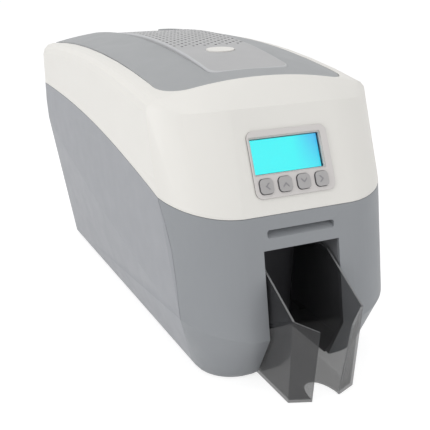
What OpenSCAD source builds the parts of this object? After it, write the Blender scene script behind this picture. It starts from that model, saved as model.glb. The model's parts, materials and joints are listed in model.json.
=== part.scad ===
// Desktop printer for plastic ID cards: moulded housing with a crowned hinged lid, front display
// and keys, pull-out card stacker, rear card feeder, and the roller, ribbon and drive mechanism.
// Millimetres. X to the right, Y to the rear, Z up. Origin on the floor, midway along the length.

/* [Body] */
// Overall width of the body at its widest
body_w = 204; // [198:1:210]
// Rear face behind the origin
rear_y = 222; // [218:1:226]
// Wall of the moulded shells
wall = 2.6; // [2:0.1:3.2]
// Height of the rubber feet below the shell
foot_h = 2; // [1.5:0.5:4]
// Width of the flat middle of the front face
flat_w = 88; // [76:1:92]
// Width of the underside
base_w = 153; // [146:1:158]
// Front edge of the underside
base_y = -168; // [-172:1:-164]
// Foremost line of the front face
nose_y = -186; // [-189:1:-182]
// Height of the foremost line
nose_z = 42; // [38:1:48]
// Front end of the slanted lower side facet
facet_y = -149.5; // [-153:0.5:-146]
// Height of the facet's front end
facet_z0 = 57; // [55:1:63]
// Height above which the sides stand upright
upright_z = 165; // [160:1:172]
// Draft of the sides below that height, mm per mm
side_draft = 0.065; // [0.04:0.005:0.09]
// Radius of the upright rear corners
rear_r = 10; // [6:1:14]

/* [White cover] */
// Front line of the seam between cover and lower housing
seam_y = -168; // [-170:1:-166]
// Height of the seam at the front
seam_z = 139; // [136:1:142]
// Height of the seam at the rear
seam_rear_z = 185.4; // [180:0.2:190]
// Exponent of the seam's sweep along the side
seam_power = 2.3; // [1.8:0.1:2.8]
// Gap shown between neighbouring shells
seam_gap = 0.4; // [0.2:0.1:0.8]
// Top edge of the sloping front face
shoulder_y = -133.5; // [-136:0.5:-130]
// Height of that top edge
shoulder_z = 216; // [212:1:219]
// Rear end of the corner rounding at the seam
crease_y = -122.4; // [-126:0.2:-118]
// Rear end of the corner rounding at the shoulder
crease_top_y = -103; // [-106:1:-100]
// Drop of the side shoulder below the lid's centre line
rim_drop = 11; // [10:0.5:13]
// Fillet along the side shoulder
rim_r = 11; // [8:1:12]

/* [Lid] */
// Height of the lid's highest point
top_z = 248.4; // [247:0.2:250]
// Place of the lid's highest point along the length
top_y = 72; // [68:1:78]
// Radius of the lid's top along its length
top_r = 1100; // [1060:10:1150]
// Radius of the lid's top across its width
crown_r = 357; // [330:1:400]
// Width of the lid
lid_w = 170; // [168:1:174]
// Front edge of the lid
lid_y = -103; // [-106:1:-100]
// Radius of the lid's front corners
lid_r = 24; // [18:1:28]
// Wall of the lid
lid_wall = 3; // [2.6:0.2:3.4]
// Depth of the lid's skirt below its centre line
skirt_d = 17; // [16:0.5:19]
// Gap around the lid
lid_gap = 0.7; // [0.5:0.1:1]
// Hinge axis along the length
hinge_y = 215.5; // [214:0.5:216]
// Height of the hinge axis
hinge_z = 226; // [225:0.5:226.5]
// Radius of the hinge knuckles
knuckle_r = 4.6; // [4.2:0.2:5]
// Radius of the hinge pins
pin_r = 2; // [1.6:0.2:2.2]
// Running clearance of pins and shafts
fit = 0.05; // [0.03:0.01:0.08]
// Half width of the vent panel
panel_hw = 37.5; // [37:0.5:39]
// Front edge of the vent panel
panel_y = -84; // [-88:1:-80]
// Radius of the panel's front corners
panel_r = 8; // [5:1:10]
// Height of the panel's highest point above the lid's
panel_up = 0.8; // [0.6:0.1:1.2]
// Place of the panel's highest point along the length
panel_top_y = 55; // [52:1:58]
// Radius of the panel's top along its length
panel_top_r = 790; // [780:5:810]
// Wall of the panel
panel_wall = 1.9; // [1.6:0.1:2]
// Radius of a ventilation hole
vent_r = 1.3; // [1.1:0.1:1.6]
// Spacing of the holes across
vent_pitch = 11.2; // [10.5:0.1:11.4]
// Spacing of the rows of holes, which are set off by half a spacing
vent_row = 4.4; // [4.2:0.1:5]
// Centre of the first row of holes
vent_y = -3.5; // [-8:0.5:0]
// Centre of the last row of holes
vent_rear_y = 184; // [160:1:190]
// Width of the oval release button
button_w = 27; // [24:1:30]
// Length of the release button
button_l = 16.5; // [15:0.5:18]
// Place of the release button along the length
button_y = -24.5; // [-26:0.5:-22]
// Travel of the release button
button_travel = 2.5; // [2:0.5:3]
// Travel of the latch bar that the button draws back
latch_travel = 4; // [3.5:0.5:5]

/* [Display and keys] */
// Width of the display bezel
bezel_w = 72; // [70:1:74]
// Height of the bezel up the slope
bezel_h = 53; // [52:1:56]
// Distance of the bezel's centre up the slope from the seam
bezel_s = 39.5; // [38:0.5:42]
// Corner radius of the bezel
bezel_r = 6; // [4:1:8]
// Height of the bezel's rim above the cover
bezel_up = 1.2; // [0.8:0.1:1.6]
// Width of the display opening
view_w = 62; // [58:1:64]
// Height of the display opening
view_h = 28; // [26:1:29]
// Offset of the display opening to the side
view_x = -2.2; // [-3:0.1:0]
// Distance of the opening's centre up the slope from the seam
view_s = 46; // [45.5:0.1:47]
// Width and height of a key
key_w = 12; // [11:0.2:13]
// Spacing of the keys
key_pitch = 16.6; // [16:0.2:17]
// Distance of the keys' centre up the slope from the seam
key_s = 22.4; // [21.5:0.1:23]
// Corner radius of a key
key_r = 3.5; // [2:0.5:4]
// Height of the keys above the bezel
key_up = 1.4; // [1.2:0.1:2]
// Travel of a key
key_travel = 0.8; // [0.6:0.1:1]

/* [Front openings] */
// Half width of the stacker opening
mouth_hw = 34.3; // [33.8:0.1:35]
// Top of the stacker opening
mouth_z = 112.4; // [108:0.2:114]
// Half width of the hand-feed slot
slot_hw = 30.4; // [29:0.1:31]
// Bottom of the scoop below the slot
scoop_z = 121.5; // [120.5:0.1:122]
// Top of the hand-feed slot
slot_z = 128; // [127.6:0.1:128.5]
// Height of the slot's gap itself
slot_gap = 1.8; // [1.4:0.1:2]
// Depth of the scoop into the face
scoop_d = 7; // [5:0.5:8]

/* [Stacker] */
// Outer width of the stacker
tray_w = 60; // [59:0.5:61]
// Offset of the stacker's middle to the side
tray_x = -2.5; // [-3:0.1:-1]
// Wall of the clear plastic
tray_t = 1.6; // [1.2:0.1:1.8]
// Front corner of the stacker's sides
tray_y = -213; // [-215:1:-211]
// Free edge of the front flaps
flap_y = -226.5; // [-227:0.5:-226]
// Foot of the flaps' free edge
flap_foot_y = -220; // [-221:0.5:-219]
// Gap between the free edges of the flaps
flap_gap = 25; // [22:1:28]
// Rear end of the stacker
tray_rear_y = -112; // [-114:1:-108]
// Underside of the stacker
tray_z = 0.6; // [0.5:0.1:1.2]
// Height of the stacker's front corner
tray_corner_z = 71.7; // [68:0.1:74]
// Height of the flaps' free edge
flap_z = 63.7; // [60:0.1:66]
// How far the stacker's right side leans out at its front corner
tray_flare = 3.2; // [0:0.1:3.4]
// Height of the stacker's rear top edge
tray_top_z = 100; // [96:1:103]
// How far the stacker pulls out
tray_travel = 45; // [30:5:50]

/* [Card path] */
// Underside of a card on its way through the machine
path_z = 126; // [125.6:0.1:126.2]
// Thickness of a card
card_t = 0.8; // [0.7:0.05:0.9]
// Width of a card
card_w = 54; // [53:0.5:54.5]
// Radius of the drive rollers
drive_r = 6; // [5:0.5:6.5]
// Radius of the pinch rollers
pinch_r = 5; // [4.8:0.1:5.4]
// Radius of the platen roller
platen_r = 8; // [7:0.5:8.5]
// Radius of the steel shafts
shaft_r = 2.5; // [2:0.1:2.8]
// Radius of the shaft bushes
bush_r = 4.4; // [4:0.1:4.8]
// Place of the exit rollers along the path
exit_y = -84; // [-88:1:-80]
// Place of the platen roller along the path
platen_y = 8; // [4:1:12]
// Place of the feed rollers along the path
feed_y = 58; // [54:1:62]
// Place of the cleaning roller along the path
clean_y = 98; // [94:1:102]
// Place of the supply spool
supply_y = 60; // [56:1:64]
// Place of the take-up spool
takeup_y = -46; // [-50:1:-42]
// Height of both ribbon spools
spool_z = 160; // [158:1:162]
// Radius of a spool's core
core_r = 8; // [7:0.5:9]
// Radius of the full supply spool
supply_r = 15; // [12:0.5:16]
// Radius of the film on the take-up spool
takeup_r = 10.5; // [10:0.5:12]
// Half length of a spool
spool_hw = 29; // [28:0.5:30]

/* [Frame] */
// Inner face of the steel side frames from the middle
frame_x = 50; // [48:0.5:52]
// Thickness of the side frames
frame_t = 1.6; // [1.2:0.1:2]
// Front end of the side frames
frame_y = -97; // [-99:1:-94]
// Step in the top edge of the side frames
frame_step_y = 122; // [118:1:126]
// Top of the side frames at the front
frame_z = 172; // [170:1:176]
// Top of the side frames behind the step
frame_low_z = 108; // [104:1:112]
// Thickness of the base tray
base_t = 1.5; // [1:0.1:2]
// Half width of the base tray
base_hw = 60; // [56:1:62]

/* [Card feeder] */
// Inner half width of the card magazine
mag_hw = 28; // [27.6:0.1:29]
// Front of the card magazine
mag_y = 130; // [128:1:132]
// Rear end of the card magazine
mag_rear_y = 215; // [212:1:215]
// Wall of the card magazine
mag_t = 2; // [1.6:0.2:2.4]
// Top of the card magazine
mag_top = 205; // [196:1:207]
// Radius of the pick roller
pick_r = 9; // [8:0.5:10]
// Place of the pick roller
pick_y = 152; // [148:1:156]
// Travel of the card weight
weight_travel = 60; // [50:5:62]
// Half width of the feeder door
door_hw = 37; // [35:0.5:38]
// Bottom edge of the feeder door
door_z = 122; // [120:1:124]
// Top edge of the feeder door
door_top_z = 207; // [200:1:209]
// Thickness of the feeder door
door_t = 2.4; // [2:0.1:3]
// How far the door's grip stands out of the rear face
grip_out = 4.5; // [3:0.5:5]

/* [Hidden] */

eps = 0.01;
fine = 720;
hw = body_w / 2;
lean = atan((shoulder_y - seam_y) / (shoulder_z - seam_z));
// Places on the curved crease between fascia and side, as [y, z]
crease_path = [[-143.6, 90], [-138.8, 112], [-131.3, 132]];
slide_gap = 0.3;
floor_z = foot_h + wall;
tray_top = floor_z + base_t;

// ---- curves of the housing -------------------------------------------------------------------

// Height of the lid's centre line
function crown_z(y) = top_z - pow(y - top_y, 2) / (2 * top_r);
// Half width of the body at a height
function side_x(z) = hw - side_draft * max(0, upright_z - z);
// Seam between cover and lower housing
function seam_at(y) = seam_rear_z - (seam_rear_z - seam_z) * pow((rear_y - y) / (rear_y - seam_y), seam_power);
// Upper edge of the slanted side facet
function facet_at(y) = facet_z0 + 0.12 * (y - facet_y) + 0.00032 * pow(y - facet_y, 2);
function rim_at(y) = crown_z(y) - rim_drop;

// Corner rounding from the end of the flat front face to the crease on the side, inset by t
function corner(yf, zf, xs, ys, zs, t, n) =
    let (dx = xs - flat_w / 2, dy = ys - yf, r = (dx * dx + dy * dy) / (2 * dy), turn = atan2(dx, r - dy))
    [for (i = [0:n]) let (a = turn * i / n)
        [flat_w / 2 + (r - t) * sin(a), yf + r - (r - t) * cos(a), zf + (zs - zf) * i / n]];

// Rounded rear corner at one height, inset by t
function rear_corner(x, z, t, n) =
    [for (i = [0:n]) let (a = 90 * i / n)
        [x - rear_r + (rear_r - t) * cos(a), rear_y - rear_r + (rear_r - t) * sin(a), z]];

// Points of the right half of the body's outer form, inset by t, with n steps in each rounding
function half_form(t, n) =
    let (foot_in = 3, side_end = rear_y - rear_r, m = 8,
        crease_z = seam_at(crease_y), upright_y = crease_y + 4)
    concat(
        corner(base_y + foot_in, foot_h + t, base_w / 2 - foot_in, facet_y + 20, foot_h + t, t, n),
        corner(base_y, foot_h + 3.5 + t, base_w / 2, facet_y + 20, foot_h + 3.5 + t, t, n),
        rear_corner(base_w / 2 - foot_in, foot_h + t, t, n / 2),
        rear_corner(base_w / 2, foot_h + 3.5 + t, t, n / 2),
        corner(nose_y, nose_z, side_x(facet_z0), facet_y, facet_z0, t, n),
        [for (i = [1:m - 1]) let (y = facet_y + (side_end - facet_y) * i / m, z = facet_at(y))
            [side_x(z) - t, y, z]],
        rear_corner(side_x(facet_at(rear_y)), facet_at(rear_y), t, n / 2),
        corner(seam_y, seam_z, side_x(crease_z), crease_y, crease_z, t, n),
        [[hw - t, upright_y, upright_z]],
        rear_corner(hw, upright_z, t, n / 2),
        corner(shoulder_y, shoulder_z, hw, crease_top_y, rim_at(crease_top_y) - rim_r, t, n),
        [for (a = [0, 30, 60, 90]) for (i = [0:m])
            let (y = crease_top_y + (side_end - crease_top_y) * i / m)
            [hw - t - rim_r * (1 - cos(a)), y, rim_at(y) - t - rim_r * (1 - sin(a))]],
        [for (a = [0, 30, 60, 90])
            each rear_corner(hw - rim_r * (1 - cos(a)),
                rim_at(rear_y) - t - rim_r * (1 - sin(a)), t + (a > 0 ? rim_r * (1 - cos(a)) : 0), n / 2)],
        [for (x = [0:10:lid_w / 2 - lid_r]) [x, lid_y - 3, crown_z(lid_y) - x * x / (2 * crown_r) - t]]
    );

// Solid hull of a cloud of points
module point_hull(points)
    hull() polyhedron(points = points, faces = [for (i = [0:len(points) - 3]) [i, i + 1, i + 2]]);

// The body's outer form, shrunk inwards by t
module body_form(t, n)
    point_hull([for (s = [-1, 1]) for (p = half_form(t, n)) [s * p[0], p[1], p[2]]]);

// Hollow shell of the whole body
module body_shell() {
    difference() {
        body_form(0, 14);
        body_form(wall, 8);
    }
}

// Everything below (side = -1) or above (side = 1) the seam, moved by shift
module seam_side(side, shift)
    rotate([90, 0, 90])
        linear_extrude(body_w + 40, center = true)
            polygon(concat(
                [for (y = [-190:10:230]) [y, seam_at(min(y, rear_y)) + shift]],
                [[230, side < 0 ? -10 : 260], [-190, side < 0 ? -10 : 260]]));

// Everything in front of the crease between the fascia and the sides, moved back by shift
module crease_front(shift)
    rotate([90, 0, 90])
        linear_extrude(body_w + 40, center = true)
            polygon([[-200, -10], [facet_y + 20 + shift, -10], [facet_y + 20 + shift, foot_h],
                [facet_y + shift, facet_z0], for (p = crease_path) [p[0] + shift, p[1]],
                [crease_y + shift, seam_at(crease_y)],
                [crease_y + shift, 175], [-200, 175]]);

// Solid under the lid's doubly curved top, lowered by t
module crown_solid(t) {
    span = 11;
    translate([0, top_y, top_z - top_r])
        rotate([0, -90, 0])
            rotate([0, 0, -span])
                rotate_extrude(angle = 2 * span, $fn = fine)
                    intersection() {
                        translate([top_r - crown_r, 0])
                            circle(r = crown_r - t, $fn = fine);
                        translate([top_r - 70, -110])
                            square([90, 220]);
                    }
}

// Solid below the arc that the vent panel's top makes, lowered by t
module panel_solid(t)
    translate([0, panel_top_y, top_z + panel_up - panel_top_r])
        rotate([0, 90, 0])
            cylinder(r = panel_top_r - t, h = 3 * panel_hw, center = true, $fn = 1440);

// Solid below the circular arc that the lid's centre line makes, lowered by t
module arc_solid(t)
    translate([0, top_y, top_z - top_r])
        rotate([0, 90, 0])
            cylinder(r = top_r - t, h = body_w + 20, center = true, $fn = 1440);

// Block with the lid's outline, inset by t
module lid_outline(t, z0, z1) {
    w = lid_w / 2 - t;
    y0 = lid_y + t;
    y1 = lid_rear_y - t;
    r = lid_r - t;
    translate([0, 0, z0])
        linear_extrude(z1 - z0)
            union() {
                translate([-w, y0 + r])
                    square([2 * w, y1 - y0 - r]);
                translate([-w + r, y0])
                    square([2 * (w - r), y1 - y0]);
                for (s = [-1, 1])
                    translate([s * (w - r), y0 + r])
                        circle(r = r, $fn = 96);
            }
}

// Raised panel's outline, inset by t, and a block with it
module panel_profile(t)
    polygon(concat(
        [for (i = [0:6]) let (a = -90 + 15 * i)
            [panel_hw - panel_r + (panel_r - t) * cos(a), panel_y + panel_r + (panel_r - t) * sin(a)]],
        [[panel_hw - t, lid_rear_y - panel_gap - t], [t - panel_hw, lid_rear_y - panel_gap - t]],
        [for (i = [0:6]) let (a = 180 + 15 * i)
            [panel_r - panel_hw + (panel_r - t) * cos(a), panel_y + panel_r + (panel_r - t) * sin(a)]]));

module panel_outline(t, z0, z1)
    translate([0, 0, z0])
        linear_extrude(z1 - z0)
            panel_profile(t);

// Local frame on the sloping front face: X across, Y up the slope, Z out of the face
module on_face()
    translate([0, seam_y, seam_z])
        rotate([90 - lean, 0, 0])
            children();

// Rectangle with rounded corners, centred
module round_rect(w, h, r)
    union() {
        square([w - 2 * r, h], center = true);
        square([w, h - 2 * r], center = true);
        for (x = [-1, 1])
            for (y = [-1, 1])
                translate([x * (w / 2 - r), y * (h / 2 - r)])
                    circle(r = r, $fn = 48);
    }

module round_plate(w, h, r, z0, z1)
    translate([0, 0, z0])
        linear_extrude(z1 - z0)
            round_rect(w, h, r);

// Cylinder along X
module x_rod(y, z, x0, x1, r)
    translate([x0, y, z])
        rotate([0, 90, 0])
            cylinder(r = r, h = x1 - x0, $fn = 48);

module x_box(x0, x1, y0, y1, z0, z1)
    translate([x0, y0, z0])
        cube([x1 - x0, y1 - y0, z1 - z0]);

// ---- derived places --------------------------------------------------------------------------

drive_z = path_z - drive_r;
platen_z = path_z - platen_r;
pinch_z = path_z + card_t + pinch_r;
clean_r = 7;
clean_z = path_z + card_t + clean_r;
pick_z = path_z + 0.4 - pick_r;
sleeve_hw = card_w / 2 + 1;
roll_pulley_r = 6;
platen_pulley_r = 8;
snug = 0.02;
rim_d = 10;
panel_skirt_d = 7.3;
boss_x = 45;
boss_places = [0, 28];
lid_rear_y = rear_y - 1.5;
panel_gap = 0.2;
rim_wall = 2;
skirt_hw = 11.4;
face_gap = 0.2;
belt_t = 1.2;
motor_y = platen_y + 2;
motor_z = 86;
motor_w = 42;
motor_pulley_r = 6;
belt_x = -(frame_x + frame_t + 3.6);
belt_outer_x = belt_x - 5.7;
belt_w = 4;
gear_m = 1;
gear_teeth = 32;
pinion_teeth = 12;
gear_x = frame_x + frame_t + 3;
gear_w = 4;
idler_z = spool_z - gear_m * gear_teeth;
ribbon_motor_z = idler_z - gear_m * (gear_teeth + pinion_teeth) / 2;
guide_r = 2.5;
guide_z = 134;
guide_off = 23;
head_pin_y = platen_y + 16;
head_pin_z = 158;
bracket_x = 35;
bay_t = 2;
bay_rear = -104;
rail_z = 28;
rail_h = 3;
rail_l = 14;
door_axis_y = rear_y - 2.8;
door_axis_z = door_z - 1.2;
door_gap = 0.4;
door_pin_r = 1.2;
plate_z = 216;
board_t = 1.6;
rear_hw = 62;
rear_z0 = 14;
rear_z1 = 110;
inlet_x = -40;
inlet_z = 44;
switch_z = 78;
socket_x = 34;
socket_z = 40;
board_z = 16;

frame_rear_y = 198;

function fascia_y(z) = nose_y + (z - nose_z) * (seam_y - nose_y) / (seam_z - nose_z);

// ---- housing ---------------------------------------------------------------------------------

// Openings that the rear feeder door fills
module door_opening()
    x_box(-door_hw - door_gap, door_hw + door_gap, rear_y - 8, rear_y + 8,
        door_axis_z - 3.6, door_top_z + door_gap);

// Clearance cut for the stacker bay in the underside
module bay_cut()
    x_box(-mouth_hw - bay_t - slide_gap, mouth_hw + bay_t + slide_gap, base_y + 2,
        bay_rear + bay_t + slide_gap, -1, floor_z + 1);

foot_spots = [for (x = [-1, 1]) for (y = [-118, 196]) [x * 54, y]];

module lower_housing()
    color("#a3a5aa")
        difference() {
            union() {
                difference() {
                    intersection() {
                        body_shell();
                        seam_side(-1, -seam_gap / 2);
                    }
                    crease_front(seam_gap / 2);
                    x_box(-rear_hw - slide_gap, rear_hw + slide_gap, rear_y - 8, rear_y + 8,
                        rear_z0 - slide_gap, rear_z1 + slide_gap);
                    door_opening();
                }
                for (s = [-1, 1])
                    x_box(s < 0 ? -door_hw - 5 : door_hw + 1, s < 0 ? -door_hw - 1 : door_hw + 5,
                        door_axis_y - 4, rear_y - wall + eps, door_axis_z - 4, door_axis_z + 4);
            }
            bay_cut();
            x_rod(door_axis_y, door_axis_z, -door_hw - 4, door_hw + 4, door_pin_r + snug);
            for (p = foot_spots)
                translate([p[0], p[1], -1])
                    cylinder(r = 3 + fit, h = floor_z + 2, $fn = 32);
            for (x = [-48:8:48])
                x_box(x - 1.5, x + 1.5, 20, 60, -1, floor_z + 1);
        }

module front_fascia()
    color("#949599")
        difference() {
            union() {
                intersection() {
                    body_shell();
                    seam_side(-1, -seam_gap / 2);
                    crease_front(-seam_gap / 2);
                }
                x_box(-slot_hw - 2, slot_hw + 2, fascia_y(slot_z) + wall / 2, fascia_y(slot_z) + scoop_d + 2,
                    scoop_z - 2, slot_z + 2);
            }
            x_box(-mouth_hw, mouth_hw, -200, -100, -1, mouth_z);
            bay_cut();
            intersection() {
                rotate([90, 0, 90])
                    linear_extrude(2 * slot_hw + 10, center = true)
                        polygon([[-190, scoop_z], [fascia_y(scoop_z), scoop_z],
                            [fascia_y(slot_z) + scoop_d, slot_z - slot_gap],
                            [fascia_y(slot_z) + scoop_d, slot_z], [-190, slot_z]]);
                translate([0, -150, (scoop_z + slot_z) / 2])
                    rotate([90, 0, 0])
                        linear_extrude(60)
                            round_rect(2 * slot_hw, slot_z - scoop_z, 2.4);
            }
            x_box(-slot_hw + 1.5, slot_hw - 1.5, -190, -140, slot_z - slot_gap, slot_z);
        }

module upper_cover()
    color("#ecece9")
        difference() {
            union() {
                difference() {
                    intersection() {
                        body_shell();
                        seam_side(1, seam_gap / 2);
                    }
                    lid_outline(-lid_gap, 218.5, 260);
                    x_box(-lid_w / 2 - lid_gap, lid_w / 2 + lid_gap, 200, rear_y + 5, 218.5, 260);
                    door_opening();
                }
                for (s = [-1, 1]) {
                    x_rod(hinge_y, hinge_z, s < 0 ? -24 : 12, s < 0 ? -12 : 24, knuckle_r);
                    x_box(s < 0 ? -24 : 12, s < 0 ? -12 : 24, hinge_y - knuckle_r,
                        rear_y - wall + eps, 209, hinge_z - 2);
                }
            }
            x_rod(hinge_y, hinge_z, -60, 60, pin_r + snug);
            on_face()
                translate([0, bezel_s, 0])
                    round_plate(bezel_w - 4.4, bezel_h - 4.4, bezel_r - 2, -10, 10);
        }

module rear_panel()
    color("#97989c")
        difference() {
            union() {
                x_box(-rear_hw, rear_hw, rear_y - wall + 0.6, rear_y, rear_z0, rear_z1);
                x_box(-rear_hw - 3, rear_hw + 3, rear_y - wall - 1.5, rear_y - wall - 0.1, rear_z0 - 3, rear_z1 + 2);
                x_box(-rear_hw, rear_hw, rear_y - wall - 0.2, rear_y - wall + 0.6 + eps, rear_z0, rear_z1);
            }
            x_box(inlet_x - 13.9, inlet_x + 13.9, rear_y - 8, rear_y + 1, inlet_z - 10.4, inlet_z + 10.4);
            x_box(inlet_x - 9.6, inlet_x + 9.6, rear_y - 8, rear_y + 1, switch_z - 6.6, switch_z + 6.6);
            x_box(socket_x - 22, socket_x + 22, rear_y - 8, rear_y + 1, socket_z - 9, socket_z + 9);
            for (x = [-6:7:50])
                for (i = [0:1])
                    x_box(x, x + 3, rear_y - 8, rear_y + 1, 66 + 20 * i, 80 + 20 * i);
        }

module rubber_feet()
    color("#2a2a2c")
        for (p = foot_spots)
            translate([p[0], p[1], 0]) {
                cylinder(r1 = 8, r2 = 9, h = foot_h, $fn = 48);
                cylinder(r = 3, h = floor_z - 0.2, $fn = 32);
            }

// ---- lid -------------------------------------------------------------------------------------

module lid_cover()
    color("#acadaf")
        difference() {
            union() {
                difference() {
                    intersection() {
                        lid_outline(0, hinge_z - 11, top_z + 14);
                        crown_solid(0);
                    }
                    intersection() {
                        lid_outline(lid_wall, hinge_z - 26, top_z + 14);
                        crown_solid(lid_wall);
                    }
                    arc_solid(skirt_d);
                }
                // Rim that hangs down round the panel's place
                difference() {
                    intersection() {
                        panel_outline(-panel_gap - rim_wall, hinge_z - 11, top_z + 14);
                        lid_outline(0, hinge_z - 11, top_z + 14);
                        crown_solid(0);
                    }
                    arc_solid(rim_d);
                    panel_outline(-panel_gap, hinge_z - 12, top_z + 14);
                }
                // Bosses for the print head bracket and the hinge knuckles
                for (s = [-1, 1]) {
                    for (y = boss_places)
                        translate([s * boss_x, y, plate_z + 1.6])
                            cylinder(r = 4, h = crown_z(y) - boss_x * boss_x / (2 * crown_r) - 2 - plate_z - 1.6,
                                $fn = 32);
                    x_rod(hinge_y, hinge_z, s < 0 ? -panel_hw - 2 : 24.4, s < 0 ? -24.4 : panel_hw + 2, knuckle_r);
                    x_box(s < 0 ? -panel_hw - 2 : 24.4, s < 0 ? -24.4 : panel_hw + 2, hinge_y - knuckle_r,
                        hinge_y + knuckle_r, hinge_z, hinge_z + knuckle_r + 0.2);
                    x_box(s < 0 ? -panel_hw - 2 : 24.4, s < 0 ? -24.4 : panel_hw + 2, lid_rear_y - 2, lid_rear_y,
                        hinge_z - 3, hinge_z + knuckle_r + 0.2);
                    // Guide of the latch bar
                    x_box(s < 0 ? -10.4 : 8.4, s < 0 ? -8.4 : 10.4, -97, -88, 224.7, crown_z(-92) - 2);
                }
                x_box(-10.4, 10.4, -97, -88, 224.7, 226.2);
            }
            x_rod(hinge_y, hinge_z, -42, 42, pin_r + fit);
            x_box(-8.4, 8.4, lid_y - 1, lid_y + lid_wall + 1, 221.6, 229.4);
            x_box(-8.4, 8.4, panel_y - panel_gap - rim_wall - 0.5, panel_y, 226, 229.4);
            panel_outline(-panel_gap, hinge_z + knuckle_r + 0.2, top_z + 14);
            x_box(-24.4, 24.4, 190, rear_y, hinge_z - 12, hinge_z + knuckle_r + 0.3);
        }

module lid_panel()
    color("#bebfc2")
        union() {
            difference() {
                intersection() {
                    translate([0, 0, hinge_z])
                        linear_extrude(top_z + 10 - hinge_z)
                            difference() {
                                panel_profile(0);
                                for (row = [0:(vent_rear_y - vent_y) / vent_row])
                                    for (i = [0:5 + row % 2])
                                        translate([(i - 2.5 - (row % 2) / 2) * vent_pitch,
                                            vent_y + row * vent_row])
                                            circle(r = vent_r, $fn = 16);
                                translate([0, button_y])
                                    oval(button_w + 0.8, button_l + 0.8);
                            }
                    panel_solid(0);
                }
                intersection() {
                    panel_outline(rim_wall, hinge_z - 10, top_z + 14);
                    panel_solid(panel_wall);
                }
                arc_solid(panel_skirt_d);
            }
            x_box(-skirt_hw, skirt_hw, lid_rear_y - 2.2, lid_rear_y - panel_gap, hinge_z - 3, hinge_z + 6.6);
        }

// Oval, centred
module oval(w, l)
    polygon([for (a = [0:10:350]) [w / 2 * cos(a), l / 2 * sin(a)]]);

module release_button()
    color("#f2f2ef")
        union() {
            difference() {
                intersection() {
                    translate([0, button_y, top_z - 26])
                        linear_extrude(40)
                            oval(button_w, button_l);
                    panel_solid(-0.8);
                }
                panel_solid(4);
            }
            x_box(-4, 4, button_y - 3, button_y + 3, 227, crown_z(button_y) - 2);
        }

module latch_bar()
    color("#505155")
        difference() {
            union() {
                x_box(-8, 8, lid_y - 4, button_y + 9, 226.5, 229);
                x_box(-8, 8, lid_y - 4, lid_y - 0.5, 222, 226.6);
            }
            x_box(-4.3, 4.3, button_y - 7.3, button_y + 3.3, 226, 230);
        }

module hinge_pins()
    color("#b8babd")
        for (s = [-1, 1])
            x_rod(hinge_y, hinge_z, s < 0 ? -37 : 13, s < 0 ? -13 : 37, pin_r);

// ---- display and keys ------------------------------------------------------------------------

key_nodes_x = [for (i = [0:3]) (i - 1.5) * key_pitch - 1.2];

module display_bezel()
    color("#d6d4d0")
        on_face()
            difference() {
                union() {
                    translate([0, bezel_s, 0])
                        round_plate(bezel_w, bezel_h, bezel_r, face_gap, bezel_up);
                    translate([0, bezel_s, 0])
                        round_plate(bezel_w - 5, bezel_h - 5, bezel_r - 2.3, -3.2, face_gap + eps);
                    for (i = [0, 2])
                        translate([(key_nodes_x[i] + key_nodes_x[i + 1]) / 2, key_s, -8])
                            cylinder(r = 0.8, h = 5, $fn = 24);
                }
                translate([view_x, view_s, 0])
                    round_plate(view_w, view_h, 1, -4, 2);
                translate([view_x, view_s, 0])
                    round_plate(view_w + 2.4, view_h + 2.4, 1.6, face_gap + 0.1, 2);
                for (x = key_nodes_x)
                    translate([x, key_s, 0])
                        round_plate(key_w + 2 * slide_gap, key_w + 2 * slide_gap, key_r + slide_gap, -4, 2);
            }

module display_window()
    color("#e8f6fa", 0.4)
        on_face()
            translate([view_x, view_s, 0])
                round_plate(view_w + 2, view_h + 2, 1.4, face_gap + 0.1, bezel_up - 0.2);

module display_module()
    color("#46e6ee")
        on_face()
            translate([view_x, view_s, 0])
                round_plate(view_w + 4, view_h + 3.4, 1, -7.9, -3.2);

module key_board()
    color("#2f6b3f")
        on_face()
            union() {
                translate([0, bezel_s, 0])
                    round_plate(70, 52, 2, -9.6, -8);
                for (x = key_nodes_x)
                    translate([x, key_s, -8 - eps])
                        cylinder(r1 = 4, r2 = 3, h = 1.4, $fn = 24);
            }

module key(i)
    color("#b4b2b2")
        on_face()
            translate([key_nodes_x[i], key_s, 0])
                union() {
                    round_plate(key_w, key_w, key_r, -3.5, bezel_up + key_up);
                    round_plate(key_w + 1.8, key_w + 1.8, key_r, -4.6, -3.5);
                    translate([0, 0, -5.6])
                        cylinder(r = 2, h = 2, $fn = 24);
                }

module key_left() key(0);
module key_up_arrow() key(1);
module key_down_arrow() key(2);
module key_right() key(3);

// ---- stacker ---------------------------------------------------------------------------------

// Flap of the stacker between its corner and its free edge; s = 1 right, -1 left
module flap(s) {
    xc = tray_x + s * tray_w / 2;
    xf = tray_x + s * flap_gap / 2;
    n = 6;
    flare = s > 0 ? tray_flare : 0;
    rim = [for (i = [0:n]) let (u = i / n)
        [xc + (xf - xc) * u, u, tray_corner_z + (flap_z - tray_corner_z) * sin(90 * u)]];
    outer = concat([for (p = rim) [p[0], tray_y + (flap_foot_y - tray_y) * p[1], tray_z]],
        [for (p = rim) [p[0] + flare * (1 + p[1] / 2), tray_y - 2.6 + (flap_y - tray_y + 2.6) * p[1], p[2]]]);
    point_hull(concat(outer, [for (p = outer) p + [-s * tray_t * 0.35, tray_t * 0.94, 0]]));
}

// Side of the stacker from x, which leans out by flare at its front corner
module tray_side(x, flare) {
    slope_y = tray_y + 51;
    outline = [[tray_y, tray_z], [tray_rear_y, tray_z], [tray_rear_y, tray_top_z],
        [slope_y, tray_top_z], [tray_y - 2.6, tray_corner_z]];
    point_hull([for (t = [0, tray_t]) for (p = outline)
        [x + t + flare * (p[1] - tray_z) / (tray_corner_z - tray_z), p[0], p[1]]]);
}

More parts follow.
